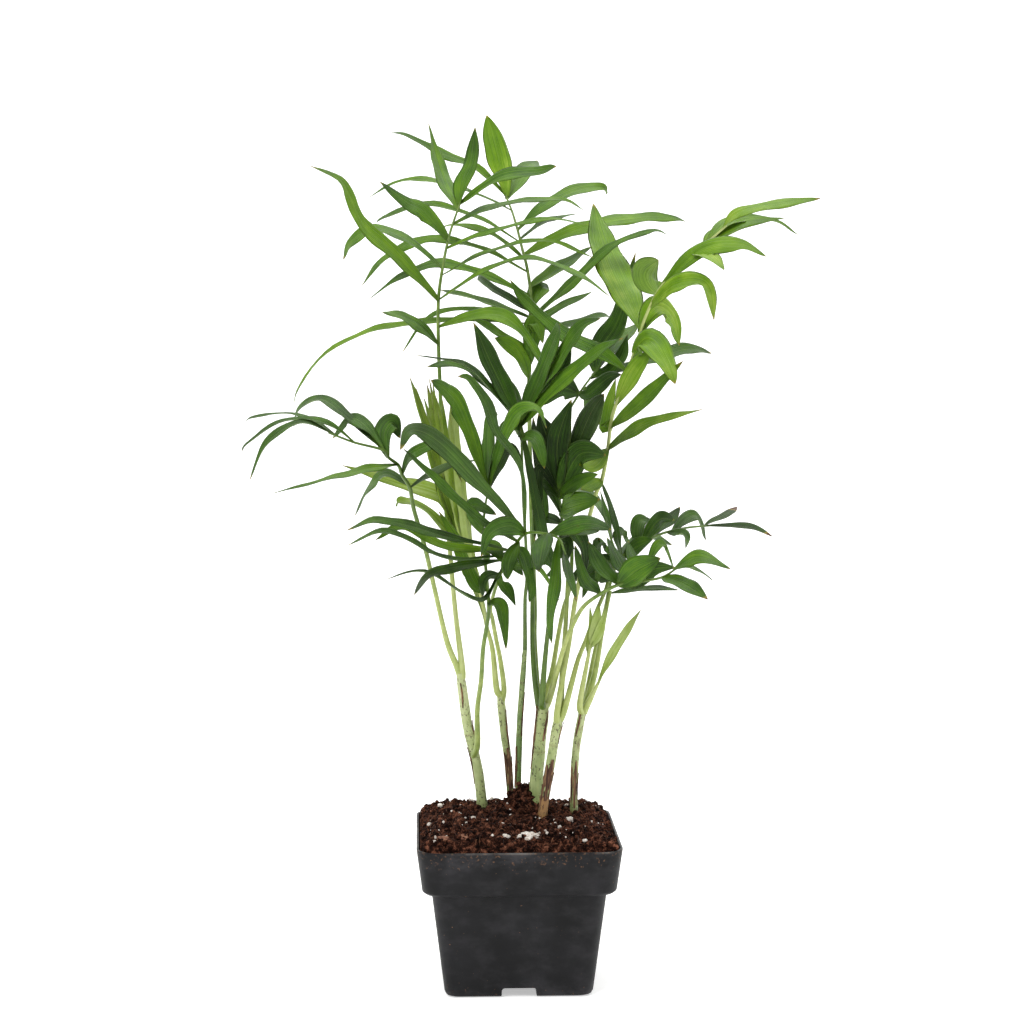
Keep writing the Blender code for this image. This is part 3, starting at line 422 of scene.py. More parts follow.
# blades whose tips have dried, with the share of the blade that has,
DRY_TIPS = {
    "frond_a1": {6: 0.04}, "frond_b2": {9: 0.06}, "frond_d1": {14: 0.05}, "frond_d4": {3: 0.05},
    "frond_e1": {1: 0.02, 10: 0.03}, "frond_e2": {5: 0.22, 6: 0.16},
}
# and blades with a painted sheen, a greyish reflection painted into their colour, with how much of one.
PAINTED_SHEEN_BLADES = {"frond_a1": {0: 0.7}, "frond_b2": {0: 0.3}, "frond_d2": {1: 0.35}, "frond_e1": {6: 0.35}}


# Shapes of the layout


def place(x, y, z):
    """A point of the layout in metres: it keeps its place in the elevation, seen from the layout's eye."""
    y = CLUMP_DEPTH + (y - CLUMP_DEPTH) * DEPTH_SPREAD
    spread = (y - EYE.y) / -EYE.y
    seen = EYE + (Vector((x, 0, z)) - EYE) * spread
    return (seen - Vector((DRAWN_CENTRE, 0, DRAWN_RIM))) * MM + Vector((0, 0, POT_HEIGHT))


def along(values, at):
    """The point or number at this place on a run of straight stretches, counted in points from 0."""
    index = min(int(at), len(values) - 2)
    return values[index] + (values[index + 1] - values[index]) * (at - index)


def smooth(points, at):
    """The point at this place on the smooth curve through the points, and its direction."""
    index = min(int(at), len(points) - 2)
    t = at - index
    p1, p2 = points[index], points[index + 1]
    p0 = points[index - 1] if index else p1 * 2 - p2
    p3 = points[index + 2] if index + 2 < len(points) else p2 * 2 - p1
    a = (p1 * 3 - p0 - p2 * 3 + p3) / 2
    b = (p0 * 2 - p1 * 5 + p2 * 4 - p3) / 2
    c = (p2 - p0) / 2
    return ((a * t + b) * t + c) * t + p1, ((a * 3 * t + b * 2) * t + c).normalized()


def stations(points, count):
    """Even stations on the smooth curve through the points: the share of the way along it, the place, the
    direction and the length so far in mm."""
    length, before = 0, points[0]
    for step in range(count + 1):
        centre, heading = smooth(points, step / count * (len(points) - 1))
        length += (centre - before).length
        before = centre
        yield step / count, centre, heading, length / MM


def soft_step(low, high, value):
    """0 below low, 1 above high, and a smooth rise between."""
    t = min(1, max(0, (value - low) / (high - low)))
    return t * t * (3 - 2 * t)


# Objects, modifiers and nodes

TIMES, PLUS, MINUS, TIMES_PLUS, POWER, ABSOLUTE, SINE, COSINE, ARCSINE, BELOW, ABOVE, LARGER = (
    ("ShaderNodeMath", {"operation": operation})
    for operation in ("MULTIPLY", "ADD", "SUBTRACT", "MULTIPLY_ADD", "POWER", "ABSOLUTE", "SINE", "COSINE",
                      "ARCSINE", "LESS_THAN", "GREATER_THAN", "MAXIMUM")
)
SCALED = ("ShaderNodeVectorMath", {"operation": "SCALE"})
FADE = ("ShaderNodeMapRange", {"interpolation_type": "SMOOTHSTEP"})  # value, from, to, then both results
MIX = ("ShaderNodeMix", {"data_type": "RGBA"})
RAMP = "ShaderNodeValToRGB"
NOISE = "ShaderNodeTexNoise"
HELD = "ShaderNodeAttribute"  # a number that the mesh holds, in a material
NAMED = ("GeometryNodeInputNamedAttribute", {"data_type": "FLOAT"})  # the same in a geometry tree
RANDOM = ("FunctionNodeRandomValue", {"data_type": "FLOAT_VECTOR"})
RING = ("GeometryNodeCurvePrimitiveCircle", {"mode": "RADIUS"})
MOVED = "GeometryNodeSetPosition"


def sizes():
    return bpy.context.scene.palm_sizes


def colours():
    return bpy.context.scene.palm_colours


def hex_rgba(code):
    """A linear colour from an sRGB hex code."""
    values = [int(code[i : i + 2], 16) / 255 for i in (0, 2, 4)]
    return (*[v / 12.92 if v <= 0.04045 else ((v + 0.055) / 1.055) ** 2.4 for v in values], 1)


def add_object(name, mesh, material=None):
    obj = bpy.data.objects.new(name, mesh)
    bpy.context.scene.collection.objects.link(obj)
    if material:
        mesh.materials.clear()
        mesh.materials.append(material)
    return obj


def hand_over(obj, slot, *nodes):
    """The piece moves with the part and stands for these solids, which it hides. The slot is not used."""
    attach(obj, BODY)
    if nodes:
        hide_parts(*nodes)


def set_inputs(tree, node, values):
    """Sets a node's inputs, by name or number, each to a value or to another node's output."""
    for key, value in values.items():
        if isinstance(value, bpy.types.NodeSocket):
            tree.links.new(value, node.inputs[key])
        else:
            node.inputs[key].default_value = value


def add_node(tree, kind, *inputs, named=None, stops=(), out=0, **settings):
    """One node with its inputs in order or named, its settings and a ramp's (place, hex) stops.
    Gives its output."""
    kind, usual = kind if isinstance(kind, tuple) else (kind, {})
    node = tree.nodes.new(kind)
    for name, value in {**usual, **settings}.items():
        setattr(node, name, value)
    set_inputs(tree, node, {**dict(enumerate(inputs)), **(named or {})})
    for _ in stops[2:]:
        node.color_ramp.elements.new(0.5)
    for i, (at, code) in enumerate(stops):
        node.color_ramp.elements[i].position = at
        node.color_ramp.elements[i].color = hex_rgba(code)
    return node.outputs[out] if node.outputs else node


def new_tree(name, inputs):
    """A Geometry Nodes tree with these inputs, the function that adds to it, and what the inputs give."""
    tree = bpy.data.node_groups.new(name, "GeometryNodeTree")
    ends = [("Geometry", "INPUT", "Geometry"), *[(socket, "INPUT", kind) for socket, kind in inputs.items()],
            ("Material", "INPUT", "Material"), ("Geometry", "OUTPUT", "Geometry")]
    for socket, in_out, kind in ends:
        tree.interface.new_socket(socket, in_out=in_out, socket_type="NodeSocket" + kind)
    return tree, partial(add_node, tree), tree.nodes.new("NodeGroupInput").outputs


def finish_tree(add, geometry, given):
    """Ends a tree: smooth shading, real geometry, and the material it was given."""
    real = add("GeometryNodeRealizeInstances", add("GeometryNodeSetShadeSmooth", geometry))
    add("NodeGroupOutput", add("GeometryNodeSetMaterial", real, named={"Material": given["Material"]}))


def run_tree(name, mesh, tree, **values):
    """A plain mesh object from the tree's result on this mesh, with these values for its named inputs."""
    guide = add_object(name + "_guide", mesh)
    modifier = guide.modifiers.new("Nodes", "NODES")
    modifier.node_group = tree
    for item in tree.interface.items_tree:
        key = item.name.lower().replace(" ", "_")
        if item.in_out == "INPUT" and key in values:
            modifier[item.identifier] = values[key]
    graph = bpy.context.evaluated_depsgraph_get()
    result = bpy.data.meshes.new_from_object(
        guide.evaluated_get(graph), preserve_all_data_layers=True, depsgraph=graph
    )
    result.name = name
    bpy.data.objects.remove(guide)
    return add_object(name, result)


def line_mesh(name, lines):
    """Open lines as a mesh of edges. A line is a list of points, each a place and its named values."""
    mesh = bpy.data.meshes.new(name + "_lines")
    edges, start = [], 0
    for line in lines:
        edges += [(start + i, start + i + 1) for i in range(len(line) - 1)]
        start += len(line)
    mesh.from_pydata([where for line in lines for where, _ in line], edges, [])
    values = [held for line in lines for _, held in line]
    for key, sample in values[0].items():
        kind, field = ("FLOAT_VECTOR", "vector") if isinstance(sample, Vector) else ("FLOAT", "value")
        attribute = mesh.attributes.new(key, kind, "POINT")
        for item, held in zip(attribute.data, values):
            setattr(item, field, held[key])
    return mesh


def sweep_tree(name, inputs, profile_of, shape_of=None):
    """A tree that sweeps a profile along lines, which carry their half width and which way they face."""
    tree, add, given = new_tree(name, inputs)
    curve = add("GeometryNodeMeshToCurve", given[0])
    face = add(NAMED, "face", data_type="FLOAT_VECTOR")
    turned = add("GeometryNodeSetCurveNormal", curve, named={"Normal": face}, mode="FREE")
    profile, reach = profile_of(add, given), add(NAMED, "reach")
    swept = add("GeometryNodeCurveToMesh", turned, profile, named={"Scale": reach, "Fill Caps": True})
    finish_tree(add, shape_of(add, given, swept) if shape_of else swept, given)
    return tree


# Fronds


def blade_profile(add, given):
    """A thin lens: X is its thickness, Y runs evenly across from -1 to 1."""
    ring = add(RING, named={"Resolution": 20, "Radius": 1.0})
    x, y, _ = add("ShaderNodeSeparateXYZ", add("GeometryNodeInputPosition")).node.outputs
    across = add(TIMES, add(ARCSINE, y), 2 / math.pi)
    for name, value in (("across", across), ("under", add(BELOW, x, 0.0))):
        ring = add("GeometryNodeStoreNamedAttribute", ring, named={"Name": name, "Value": value},
                   data_type="FLOAT", domain="POINT")
    lens = add("ShaderNodeCombineXYZ", add(TIMES, x, given["Thickness"]), across)
    return add(MOVED, ring, named={"Position": lens})


def blade_shape(add, given, mesh):
    """Folds each blade along its midrib, cambers it, pleats it between its veins and waves its edges."""
    across, reach, fold, camber, length, seed = (
        add(NAMED, name) for name in ("across", "reach", "fold", "camber", "length_mm", "seed")
    )
    from_rib = add(ABSOLUTE, across)
    ribs = add(COSINE, add(TIMES, from_rib, add(TIMES, given["Pleats"], math.tau)))
    phase = add(PLUS, add(TIMES_PLUS, across, 1.3, add(TIMES, length, given["Wave Rate"])), seed)
    wave = add(TIMES, add(SINE, phase), add(TIMES, add(POWER, from_rib, 3.0), given["Edge Wave"]))
    rise = add(TIMES_PLUS, add(POWER, from_rib, 2.0), camber, add(TIMES, from_rib, fold))
    rise = add(PLUS, add(TIMES_PLUS, ribs, given["Pleat Depth"], rise), wave)
    face = add(NAMED, "face", data_type="FLOAT_VECTOR")
    return add(MOVED, mesh, named={"Offset": add(SCALED, face, named={"Scale": add(TIMES, rise, reach)})})


def blade_tree():
    names = ("Thickness", "Pleats", "Pleat Depth", "Wave Rate", "Edge Wave")
    return sweep_tree("palm blades", dict.fromkeys(names, "Float"), blade_profile, blade_shape)


def rod_tree():
    return sweep_tree("palm rods", {"Sides": "Int"},
                      lambda add, given: add(RING, named={"Resolution": given["Sides"], "Radius": 1.0}))


def blade_line(points, width, turn, chance, tone, dry, painted_sheen):
    """The line of one blade: its places from base to tip and what each station holds."""
    depth = Vector((0, 1, 0))
    side = 1 if points[-1].x < points[0].x else -1
    twist = math.radians(chance.uniform(-BLADE_TWIST, BLADE_TWIST))
    arch = chance.uniform(*BLADE_ARCH)
    lean = chance.uniform(0, math.tau)
    seed = chance.uniform(0, 40)
    line = []
    for share, centre, heading, length in stations(points, sizes().blade_stations):
        level = (depth - heading * depth.dot(heading)).normalized()
        up = level.cross(heading) * side
        angle = turn + twist * (share - TWIST_CENTRE) + 0.06 * math.sin(lean + share * 9)
        face = up * math.cos(angle) - level * math.sin(angle)
        rise = BLADE_BASE + (1 - BLADE_BASE) * math.sin(math.pi / 2 * min(1, share / BLADE_WIDEST))
        fall = math.cos(math.pi / 2 * max(0, (share - BLADE_WIDEST) / (1 - BLADE_WIDEST))) ** TIP_FULLNESS
        reach = max(BLADE_TIP, rise * fall) * (1 + 0.015 * math.sin(lean * 2 + share * 17))
        line.append((centre, {
            "face": face.normalized(), "reach": reach * width / 2 * BLADE_FULLNESS,
            "fold": 0.34 * (1 - soft_step(0, 0.45, share)) + 0.1, "camber": arch * soft_step(0.1, 0.5, share),
            "along": share, "length_mm": length, "seed": seed, "tone": tone, "dry": dry, "painted_sheen": painted_sheen,
        }))
    return line


def rod_line(points, radii, spacing, marks):
    """A rod's line at even spacing, with what marks(length in mm, share) adds to each station."""
    total = sum((b - a).length for a, b in zip(points, points[1:]))
    side = Vector((1, 0, 0))
    line = []
    for share, centre, heading, length in stations(points, max(4, round(total / spacing))):
        extra = marks(length, share)
        line.append((centre, {
            "face": (side - heading * side.dot(heading)).normalized(),
            "reach": along(radii, share * (len(points) - 1)) * extra.pop("swell"),
            "along": share, "length_mm": length, **extra,
        }))
    return line


def frond_blades(name, chance):
    """The lines of a frond's blades."""
    drawn, leaflets = FRONDS[name]
    rachis = [place(*point) for point in drawn]
    depths = [y for _, y, _ in drawn]
    lines = []
    for number, (at, width, turn, out, *passes) in enumerate(leaflets):
        at = min(at, len(rachis) - 1.25)
        points = [along(rachis, at)]
        for step, (x, z) in enumerate(passes, 1):
            points.append(place(x, along(depths, at) + SWING * out * step / len(passes), z))
        wide = width * MM * BLADE_BREADTHS.get(name, {}).get(number, FROND_BREADTHS.get(name, 1))
        tone = BLADE_TONES.get(name, {}).get(number, FROND_TONES[name] + chance.uniform(-0.07, 0.09))
        dry = DRY_TIPS.get(name, {}).get(number, max(0, chance.uniform(-0.03, 0.02)))
        # each blade also gets a little painted sheen: a greyish reflection painted into its colour
        painted_sheen = PAINTED_SHEEN_BLADES.get(name, {}).get(number, chance.uniform(0, 0.12))
        lines.append(blade_line(points, wide, math.radians(turn), chance, tone, dry, painted_sheen))
    return lines


def frond_stalks(name):
    """The lines of a frond's petiole and rachis, and of the spare petiole that stands by it."""
    own = sizes()
    rachis = [place(*point) for point in FRONDS[name][0]]
    last = len(rachis) - 1
    tint, shade, girth = FROND_TONES[name], PETIOLE_TONES.get(name, 1), PETIOLE_GIRTHS.get(name, 1)
    wide, narrow = own.petiole_radius * girth, own.rachis_tip_radius
    radii = [wide * 1.15] + [wide + (narrow - wide) * (i / last) ** 1.3 for i in range(last + 1)]

    def marks(length, _):
        pale = (0.3 + 0.5 * (1 - soft_step(30, 110, length))) * shade
        foot = 0.28 * girth**4 * (1 - soft_step(0, 40, length))
        return {"tone": max(tint * 0.9, pale * (0.55 + tint)) if tint < 0.5 else YOUNG_PETIOLE_TONE,
                "swell": 1 + foot + 0.008 * math.sin(length * 0.9)}

    lines = [rod_line([place(*PETIOLE_ROOTS[name])] + rachis, radii, STALK_STATION, marks)]
    spare = [place(*point) for point in SPARE_PETIOLES.get(name, ())]
    if spare:
        radii = [own.petiole_radius * (1.2 - 0.1 * i) for i in range(len(spare))]
        lines.append(rod_line(spare, radii, STALK_STATION, marks))
    return lines


class PALM_OT_fronds(bpy.types.Operator):
    """Makes each frond's pinnate blades, and the petiole and rachis that carry them"""

    bl_idname = "palm.fronds"
    bl_label = "Fronds"

    def execute(self, context):
        own = sizes()
        blades, rods = blade_tree(), rod_tree()
        settings = {
            "thickness": own.blade_thickness / USUAL_BLADE_WIDTH, "pleats": own.blade_pleats,
            "pleat_depth": own.pleat_depth, "wave_rate": math.tau / (own.wave_length / MM),
            "edge_wave": own.edge_wave,
        }
        old_leaf = new_material("palm_leaf", leaf_finish, 0.42)
        young_leaf = new_material("young_palm_leaf", leaf_finish, 0.36)
        petiole = new_material("petiole_skin", petiole_finish)
        chance = random.Random(own.seed)
        for name in FRONDS:
            label = name.replace("frond_", "").replace("spear_f", "f2").replace("blade_f", "f3")
            slot, leaf = ("leaf_young", young_leaf) if name in YOUNG_FRONDS else ("leaf", old_leaf)
            leaflets = line_mesh(name, frond_blades(name, chance))
            hand_over(run_tree(f"leaflets_{label}", leaflets, blades, material=leaf, **settings), slot, name)
            stalks = line_mesh(name, frond_stalks(name))
            hand_over(run_tree(f"rachis_{label}", stalks, rods, sides=12, material=petiole), "stem", name)
        return {"FINISHED"}


# Canes and sheaths


def cane_line(name, chance):
    """The line of one cane, with its leaf scars, its darker foot and its tone."""
    foot, top, drawn = STEMS[name]
    root = sizes().cane_root / MM
    x, y, z = drawn[0]
    points = [place(x, y, z - root)] + [place(*point) for point in drawn]
    last = len(points) - 1
    radii = [(foot + (top - foot) * i / last) * MM for i in range(last + 1)]
    scars = [root + chance.uniform(5, 9)]
    while scars[-1] < LAST_SCAR:
        scars.append(scars[-1] + chance.uniform(24, 44))
    tint = CANE_TONES.get(name, 0.45) + chance.uniform(-0.08, 0.08)

    def marks(length, share):
        ring = math.exp(-((min(abs(length - scar) for scar in scars[:-1]) / 0.7) ** 2))
        base = 1 - soft_step(root, root + 8, length)
        corky = 1 - soft_step(CORKY_TO - 3, CORKY_TO + 1, length) if name == CORKY_CANE else 0
        return {
            "tone": tint + 0.25 * soft_step(40, 90, length) - 0.12 * (1 - soft_step(14, 45, length)),
            "scar": ring,
            "tan": max(0.55 * base, corky),
            "swell": (1 + 0.03 * ring + 0.12 * base + 0.02 * math.sin(length * 0.35 + tint * 40))
            * (1 - 0.2 * soft_step(0.9, 1, share)),
        }

    return rod_line(points, radii, CANE_STATION, marks)


class PALM_OT_canes(bpy.types.Operator):
    """Makes the ringed green canes that rise from the soil"""

    bl_idname = "palm.canes"
    bl_label = "Canes"

    def execute(self, context):
        rods = rod_tree()
        cane = new_material("palm_cane", cane_finish)
        chance = random.Random(sizes().seed + 1)
        for name in STEMS:
            lines = line_mesh(name, [cane_line(name, chance)])
            hand_over(run_tree("cane_" + name[-1], lines, rods, sides=20, material=cane), "stem", name)
        return {"FINISHED"}


def husk_line(stem, width, start, end, turn):
    """The line of one strip of old sheath that clings to a cane, on the side that turn gives, 0 the front."""
    foot, top, drawn = STEMS[stem]
    axis = [place(*point) for point in drawn]
    line = []
    for step in range(HUSK_SPANS + 1):
        share = step / HUSK_SPANS
        at = start + (end - start) * share
        centre, heading = smooth(axis, at)
        side = turn + 0.25 * math.sin(share * 2.2)
        out = Vector((math.sin(side), -math.cos(side), 0))
        out = (out - heading * out.dot(heading)).normalized()
        radius = foot + (top - foot) * (1 + at) / len(drawn)
        away = (radius * 1.04 + 0.16 + 0.5 * share**3) * MM
        taper = math.sin(math.pi * (0.12 + 0.8 * share)) ** 0.6
        ragged = 1 + 0.3 * noise.noise(Vector((share * 9, turn * 5, width)))
        line.append((centre + out * away, {
            "face": out, "reach": width / 2 * MM * taper * ragged * 0.62, "fold": -0.25, "camber": -0.25,
            "along": share, "length_mm": share * 20, "seed": turn,
        }))
    return line


class PALM_OT_sheaths(bpy.types.Operator):
    """Makes the papery old leaf sheaths that still cling to the canes"""

    bl_idname = "palm.sheaths"
    bl_label = "Old sheaths"

    def execute(self, context):
        blades = blade_tree()
        settings = {"thickness": 0.06, "pleats": 3.0, "pleat_depth": 0.05, "wave_rate": 0.9,
                    "edge_wave": 0.18, "material": new_material("dry_sheath", husk_finish)}
        for name, (stem, width, start, end) in SHEATHS.items():
            reach = end - start
            lines = [
                husk_line(stem, width * share, start + reach * low, start + reach * high, turn)
                for turn, share, low, high in SHEATH_STRIPS
            ]
            husk = run_tree(name.replace("sheath", "husk"), line_mesh(name, lines), blades, **settings)
            hand_over(husk, "sheath", name)
        lines = [husk_line(*scrap) for scrap in SCRAPS]
        hand_over(run_tree("husk_scraps", line_mesh("scraps", lines), blades, **settings), "sheath")
        return {"FINISHED"}


# Soil and what lies on it


def soil_height(x, y):
    """The top of the soil in metres: a mound, a lump by the thickest canes, and small unevenness."""
    reach = min(1, max(abs(x), abs(y)) / (POT_RIM_WIDTH / 2 - sizes().pot_wall))
    flat = 1 - reach**6
    away = (Vector((x, y)) - SOIL_LUMP_PLACE).length / SOIL_LUMP_RADIUS
    rough = SOIL_UNEVEN * noise.noise(Vector((x, y, 0)) / (7 * MM)) * flat
    rise = SOIL_MOUND * flat + SOIL_LUMP_HEIGHT * math.exp(-(away**2)) + rough
    return POT_HEIGHT - SOIL_BELOW_RIM + rise


def ground_point(x, y):
    """A point on the lumpy top of the soil, x and y in metres."""
    where = Vector((x, y, 0)) / MM
    lumps = 0.9 * noise.noise(where / 3.1) + 0.45 * noise.noise(where / 1.3)
    return Vector((x, y, soil_height(x, y) + lumps * MM))


def square_ring(width, corner, z, segments):
    """A square with rounded corners, anticlockwise."""
    centre = width / 2 - corner
    arcs = []
    for side in range(4):
        start = side * math.pi / 2
        x, y = (math.copysign(centre, way(start + math.pi / 4)) for way in (math.cos, math.sin))
        turns = [start + step / segments * math.pi / 2 for step in range(segments + 1)]
        arcs.append([Vector((x + corner * math.cos(a), y + corner * math.sin(a), z)) for a in turns])
    points = []
    for arc, after in zip(arcs, arcs[1:] + arcs[:1]):
        points += arc
        points += [arc[-1].lerp(after[0], step / (segments + 2)) for step in range(1, segments + 2)]
    return points


def mesh_from(bm, name):
    bmesh.ops.recalc_face_normals(bm, faces=bm.faces)
    mesh = bpy.data.meshes.new(name)
    bm.to_mesh(mesh)
    bm.free()
    return mesh


def loft_mesh(name, rings, tip=None):
    """A closed mesh through rings of equal length, capped at its first ring and its last, or at a tip."""
    bm = bmesh.new()
    loops = [[bm.verts.new(point) for point in ring] for ring in rings]
    pairs = [(i, (i + 1) % len(rings[0])) for i in range(len(rings[0]))]
    for lower, upper in zip(loops, loops[1:]):
        for i, j in pairs:
            bm.faces.new((lower[i], lower[j], upper[j], upper[i]))
    bm.faces.new(list(reversed(loops[0])))
    if tip is None:
        bm.faces.new(loops[-1])
    else:
        point = bm.verts.new(tip)
        for i, j in pairs:
            bm.faces.new((loops[-1][i], loops[-1][j], point))
    return mesh_from(bm, name)


def soil_mesh():
    inset = sizes().pot_wall + 0.2 * MM
    edge_width = POT_RIM_WIDTH - 2 * inset
    corner = RIM_CORNER - inset / 2
    rings = [square_ring(edge_width - 5 * MM, corner, POT_HEIGHT - SOIL_BED_DEPTH, 12)]
    edge = square_ring(edge_width - 0.8 * MM, corner, 0, 12)
    for step in range(SOIL_RINGS):
        share = 1 - step / SOIL_RINGS
        rings.append([ground_point(point.x * share, point.y * share) for point in edge])
    return loft_mesh("soil_bed", rings, ground_point(0, 0))


def scatter_tree(name, detail, rough):
    """A tree that strews rough lumps over the upper faces of a mesh."""
    floats = dict.fromkeys(("Spacing", "Smallest", "Largest", "Half Width"), "Float")
    tree, add, given = new_tree(name, {**floats, "Seed": "Int"})
    where = add("GeometryNodeInputPosition")
    x, y, _ = add("ShaderNodeSeparateXYZ", where).node.outputs
    far = add(LARGER, add(ABSOLUTE, x), add(ABSOLUTE, y))
    upward = add("ShaderNodeSeparateXYZ", add("GeometryNodeInputNormal"), out="Z")
    upper = add(TIMES, add(BELOW, far, given["Half Width"]), add(ABOVE, upward, 0.3))
    spread = {"Selection": upper, "Distance Min": given["Spacing"], "Density Max": 9e5, "Seed": given["Seed"]}
    points = add("GeometryNodeDistributePointsOnFaces", given[0], named=spread, distribute_method="POISSON")
    size = add(RANDOM, named={2: given["Smallest"], 3: given["Largest"], "Seed": 7}, data_type="FLOAT", out=1)
    squeeze = add(RANDOM, (0.7, 0.6, 0.5), (1.3, 1.1, 0.9), named={"Seed": 11})
    lumps = add("GeometryNodeInstanceOnPoints", points, named={
        "Instance": add("GeometryNodeMeshIcoSphere", named={"Radius": 1.0, "Subdivisions": detail}),
        "Rotation": add(RANDOM, (0, 0, 0), (math.tau,) * 3, named={"Seed": 13}),
        "Scale": add(SCALED, squeeze, named={"Scale": size}),
    })
    ripple = add(NOISE, where, named={"Scale": 900.0, "Detail": 2.0}, out="Color")
    centred = add("ShaderNodeVectorMath", ripple, (0.5, 0.5, 0.5), operation="SUBTRACT")
    push = add(SCALED, centred, named={"Scale": rough})
    finish_tree(add, add(MOVED, add("GeometryNodeRealizeInstances", lumps), named={"Offset": push}), given)
    return tree


def fibre_line(chance, half):
    """The line of one root strand that lies on the soil."""
    x, y = chance.uniform(-half, half), chance.uniform(-half, half)
    heading, bend = chance.uniform(0, math.tau), chance.uniform(-FIBRE_BEND, FIBRE_BEND)
    length = chance.uniform(*FIBRE_LENGTH) * MM
    radius = chance.uniform(*FIBRE_RADIUS) * MM
    line = []
    for step in range(FIBRE_SPANS + 1):
        share = step / FIBRE_SPANS
        lift = (0.6 + 1.2 * math.sin(math.pi * share)) * MM
        line.append((ground_point(x, y) + Vector((0, 0, lift)), {
            "face": Vector((0, 0, 1)), "reach": radius * (1 - 0.6 * abs(2 * share - 1)),
            "along": share, "length_mm": share * length / MM,
        }))
        heading += bend
        x = max(-half, min(half, x + math.cos(heading) * length / FIBRE_SPANS))
        y = max(-half, min(half, y + math.sin(heading) * length / FIBRE_SPANS))
    return line


class PALM_OT_soil(bpy.types.Operator):
    """Makes the mounded peat, its clods and crumbs, and the root fibres in it"""

    bl_idname = "palm.soil"
    bl_label = "Soil"

    def execute(self, context):
        own = sizes()
        peat = new_material("peat_compost", peat_finish)
        bed = add_object("soil_bed", soil_mesh(), peat)
        bed.data.shade_smooth()
        for number, (name, detail, spacing, smallest, largest, rough) in enumerate(SOIL_LAYERS):
            layer = run_tree(
                name, bed.data.copy(), scatter_tree(name, detail, rough * MM), spacing=spacing * MM,
                smallest=smallest * MM, largest=largest * MM, seed=own.seed + number, material=peat,
                half_width=POT_RIM_WIDTH / 2 - own.pot_wall - largest * 0.9 * MM,
            )
            hand_over(layer, "soil", "soil")
        hand_over(bed, "soil", "soil")
        chance = random.Random(own.seed + 2)
        lines = [fibre_line(chance, POT_RIM_WIDTH / 2 - 5 * MM) for _ in range(own.fibres)]
        fibres = run_tree("soil_fibres", line_mesh("fibres", lines), rod_tree(), sides=5,
                          material=new_material("root_fibre", fibre_finish))
        hand_over(fibres, "soil", "soil")
        return {"FINISHED"}


def lump(bm, centre, half, turn, detail, rough, seed):
    """Adds one broken lump: a sphere cut by random flats and roughened."""
    chance = random.Random(seed)
    flats = [
        (Vector([chance.gauss(0, 1) for _ in range(3)]).normalized(), chance.uniform(0.62, 0.9))
        for _ in range(9)
    ]
    spin = Matrix.Rotation(turn, 3, "Z")
    for vert in bmesh.ops.create_icosphere(bm, subdivisions=detail, radius=1)["verts"]:
        co = vert.co.copy()
        for normal, far in flats:
            co -= normal * max(0, co.dot(normal) - far) * 0.9
        co *= 1 + rough * noise.noise(co * 3 + Vector((seed, 0, 0))) + rough / 2 * noise.noise(co * 9)
        vert.co = centre + spin @ Vector([c * h for c, h in zip(co, half)])


class PALM_OT_grains(bpy.types.Operator):
    """Makes the perlite and the bark chips that lie on the soil"""

    bl_idname = "palm.grains"
    bl_label = "Perlite and bark"

    def execute(self, context):
        own = sizes()
        finishes = {"perlite": new_material("perlite_foam", perlite_finish),
                    "bark": new_material("pine_bark", bark_finish)}
        for number, (node, slot, pieces, rough) in enumerate(GRAINS):
            low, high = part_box(node)
            centre, half = (low + high) / 2, (high - low) / 2
            chance = random.Random(number)
            bm = bmesh.new()
            share = 1 if pieces == 1 else 0.85
            lump(bm, centre, [h * share for h in half], 0.1, 4, rough, number * 7 + 1)
            for extra in range(pieces - 1):
                angle = math.tau * extra / (pieces - 1) + chance.uniform(-0.4, 0.4)
                off = Vector((math.cos(angle) * half.x, math.sin(angle) * half.y, -0.1 * half.z)) * 0.55
                small = [h * chance.uniform(0.45, 0.6) for h in half]
                lump(bm, centre + off, small, angle, 3, rough, number * 7 + 2 + extra)
            grain = add_object(node + "_lumps", mesh_from(bm, node), finishes[slot])
            grain.data.shade_smooth()
            hand_over(grain, slot, node)
        bm = bmesh.new()
        chance = random.Random(own.seed + 7)
        reach = POT_RIM_WIDTH / MM / 2 - 6
        specks = [
            (chance.uniform(-reach, reach), chance.uniform(-reach, reach), chance.uniform(*SPECK_SIZE))
            for _ in range(own.perlite_specks)
        ]
        for number, (x, y, size) in enumerate((*PERLITE_CRUMBS, *specks)):
            half = [size / 2 * MM * chance.uniform(0.6, 1.2) for _ in range(3)]
            centre = ground_point(x * MM, y * MM) + Vector((0, 0, half[2] * 0.6 + 0.8 * MM))
            lump(bm, centre, half, chance.uniform(0, 3), 3 if size > 1.5 else 2, 0.5, number + 90)
        crumbs = add_object("perlite_crumbs", mesh_from(bm, "crumbs"), finishes["perlite"])
        crumbs.data.shade_smooth()
        hand_over(crumbs, "perlite")
        return {"FINISHED"}


# Pot


def pot_rings(inset):
    """Rings up the pot's outside, or up a surface this far inside it."""
    step_height = POT_HEIGHT - BAND_HEIGHT
    band_foot = POT_RIM_WIDTH - 2 * BAND_TAPER
    band_round = BAND_STEP / 3
    rows = (
        (0, POT_BASE_WIDTH - 2 * BASE_ROUND), (BASE_ROUND * 0.3, POT_BASE_WIDTH - 0.6 * BASE_ROUND),
        (BASE_ROUND, POT_BASE_WIDTH), (step_height, band_foot - 2 * BAND_STEP),
        (step_height, band_foot - 2 * band_round), (step_height + band_round, band_foot),
        (POT_HEIGHT, POT_RIM_WIDTH),
    )
    rings = []
    for z, width in rows:
        share = (width - POT_BASE_WIDTH) / (POT_RIM_WIDTH - POT_BASE_WIDTH)
        corner = BASE_CORNER + (RIM_CORNER - BASE_CORNER) * share
        rings.append(square_ring(width - 2 * inset, corner - inset / 2, z + inset, 14))
    return rings


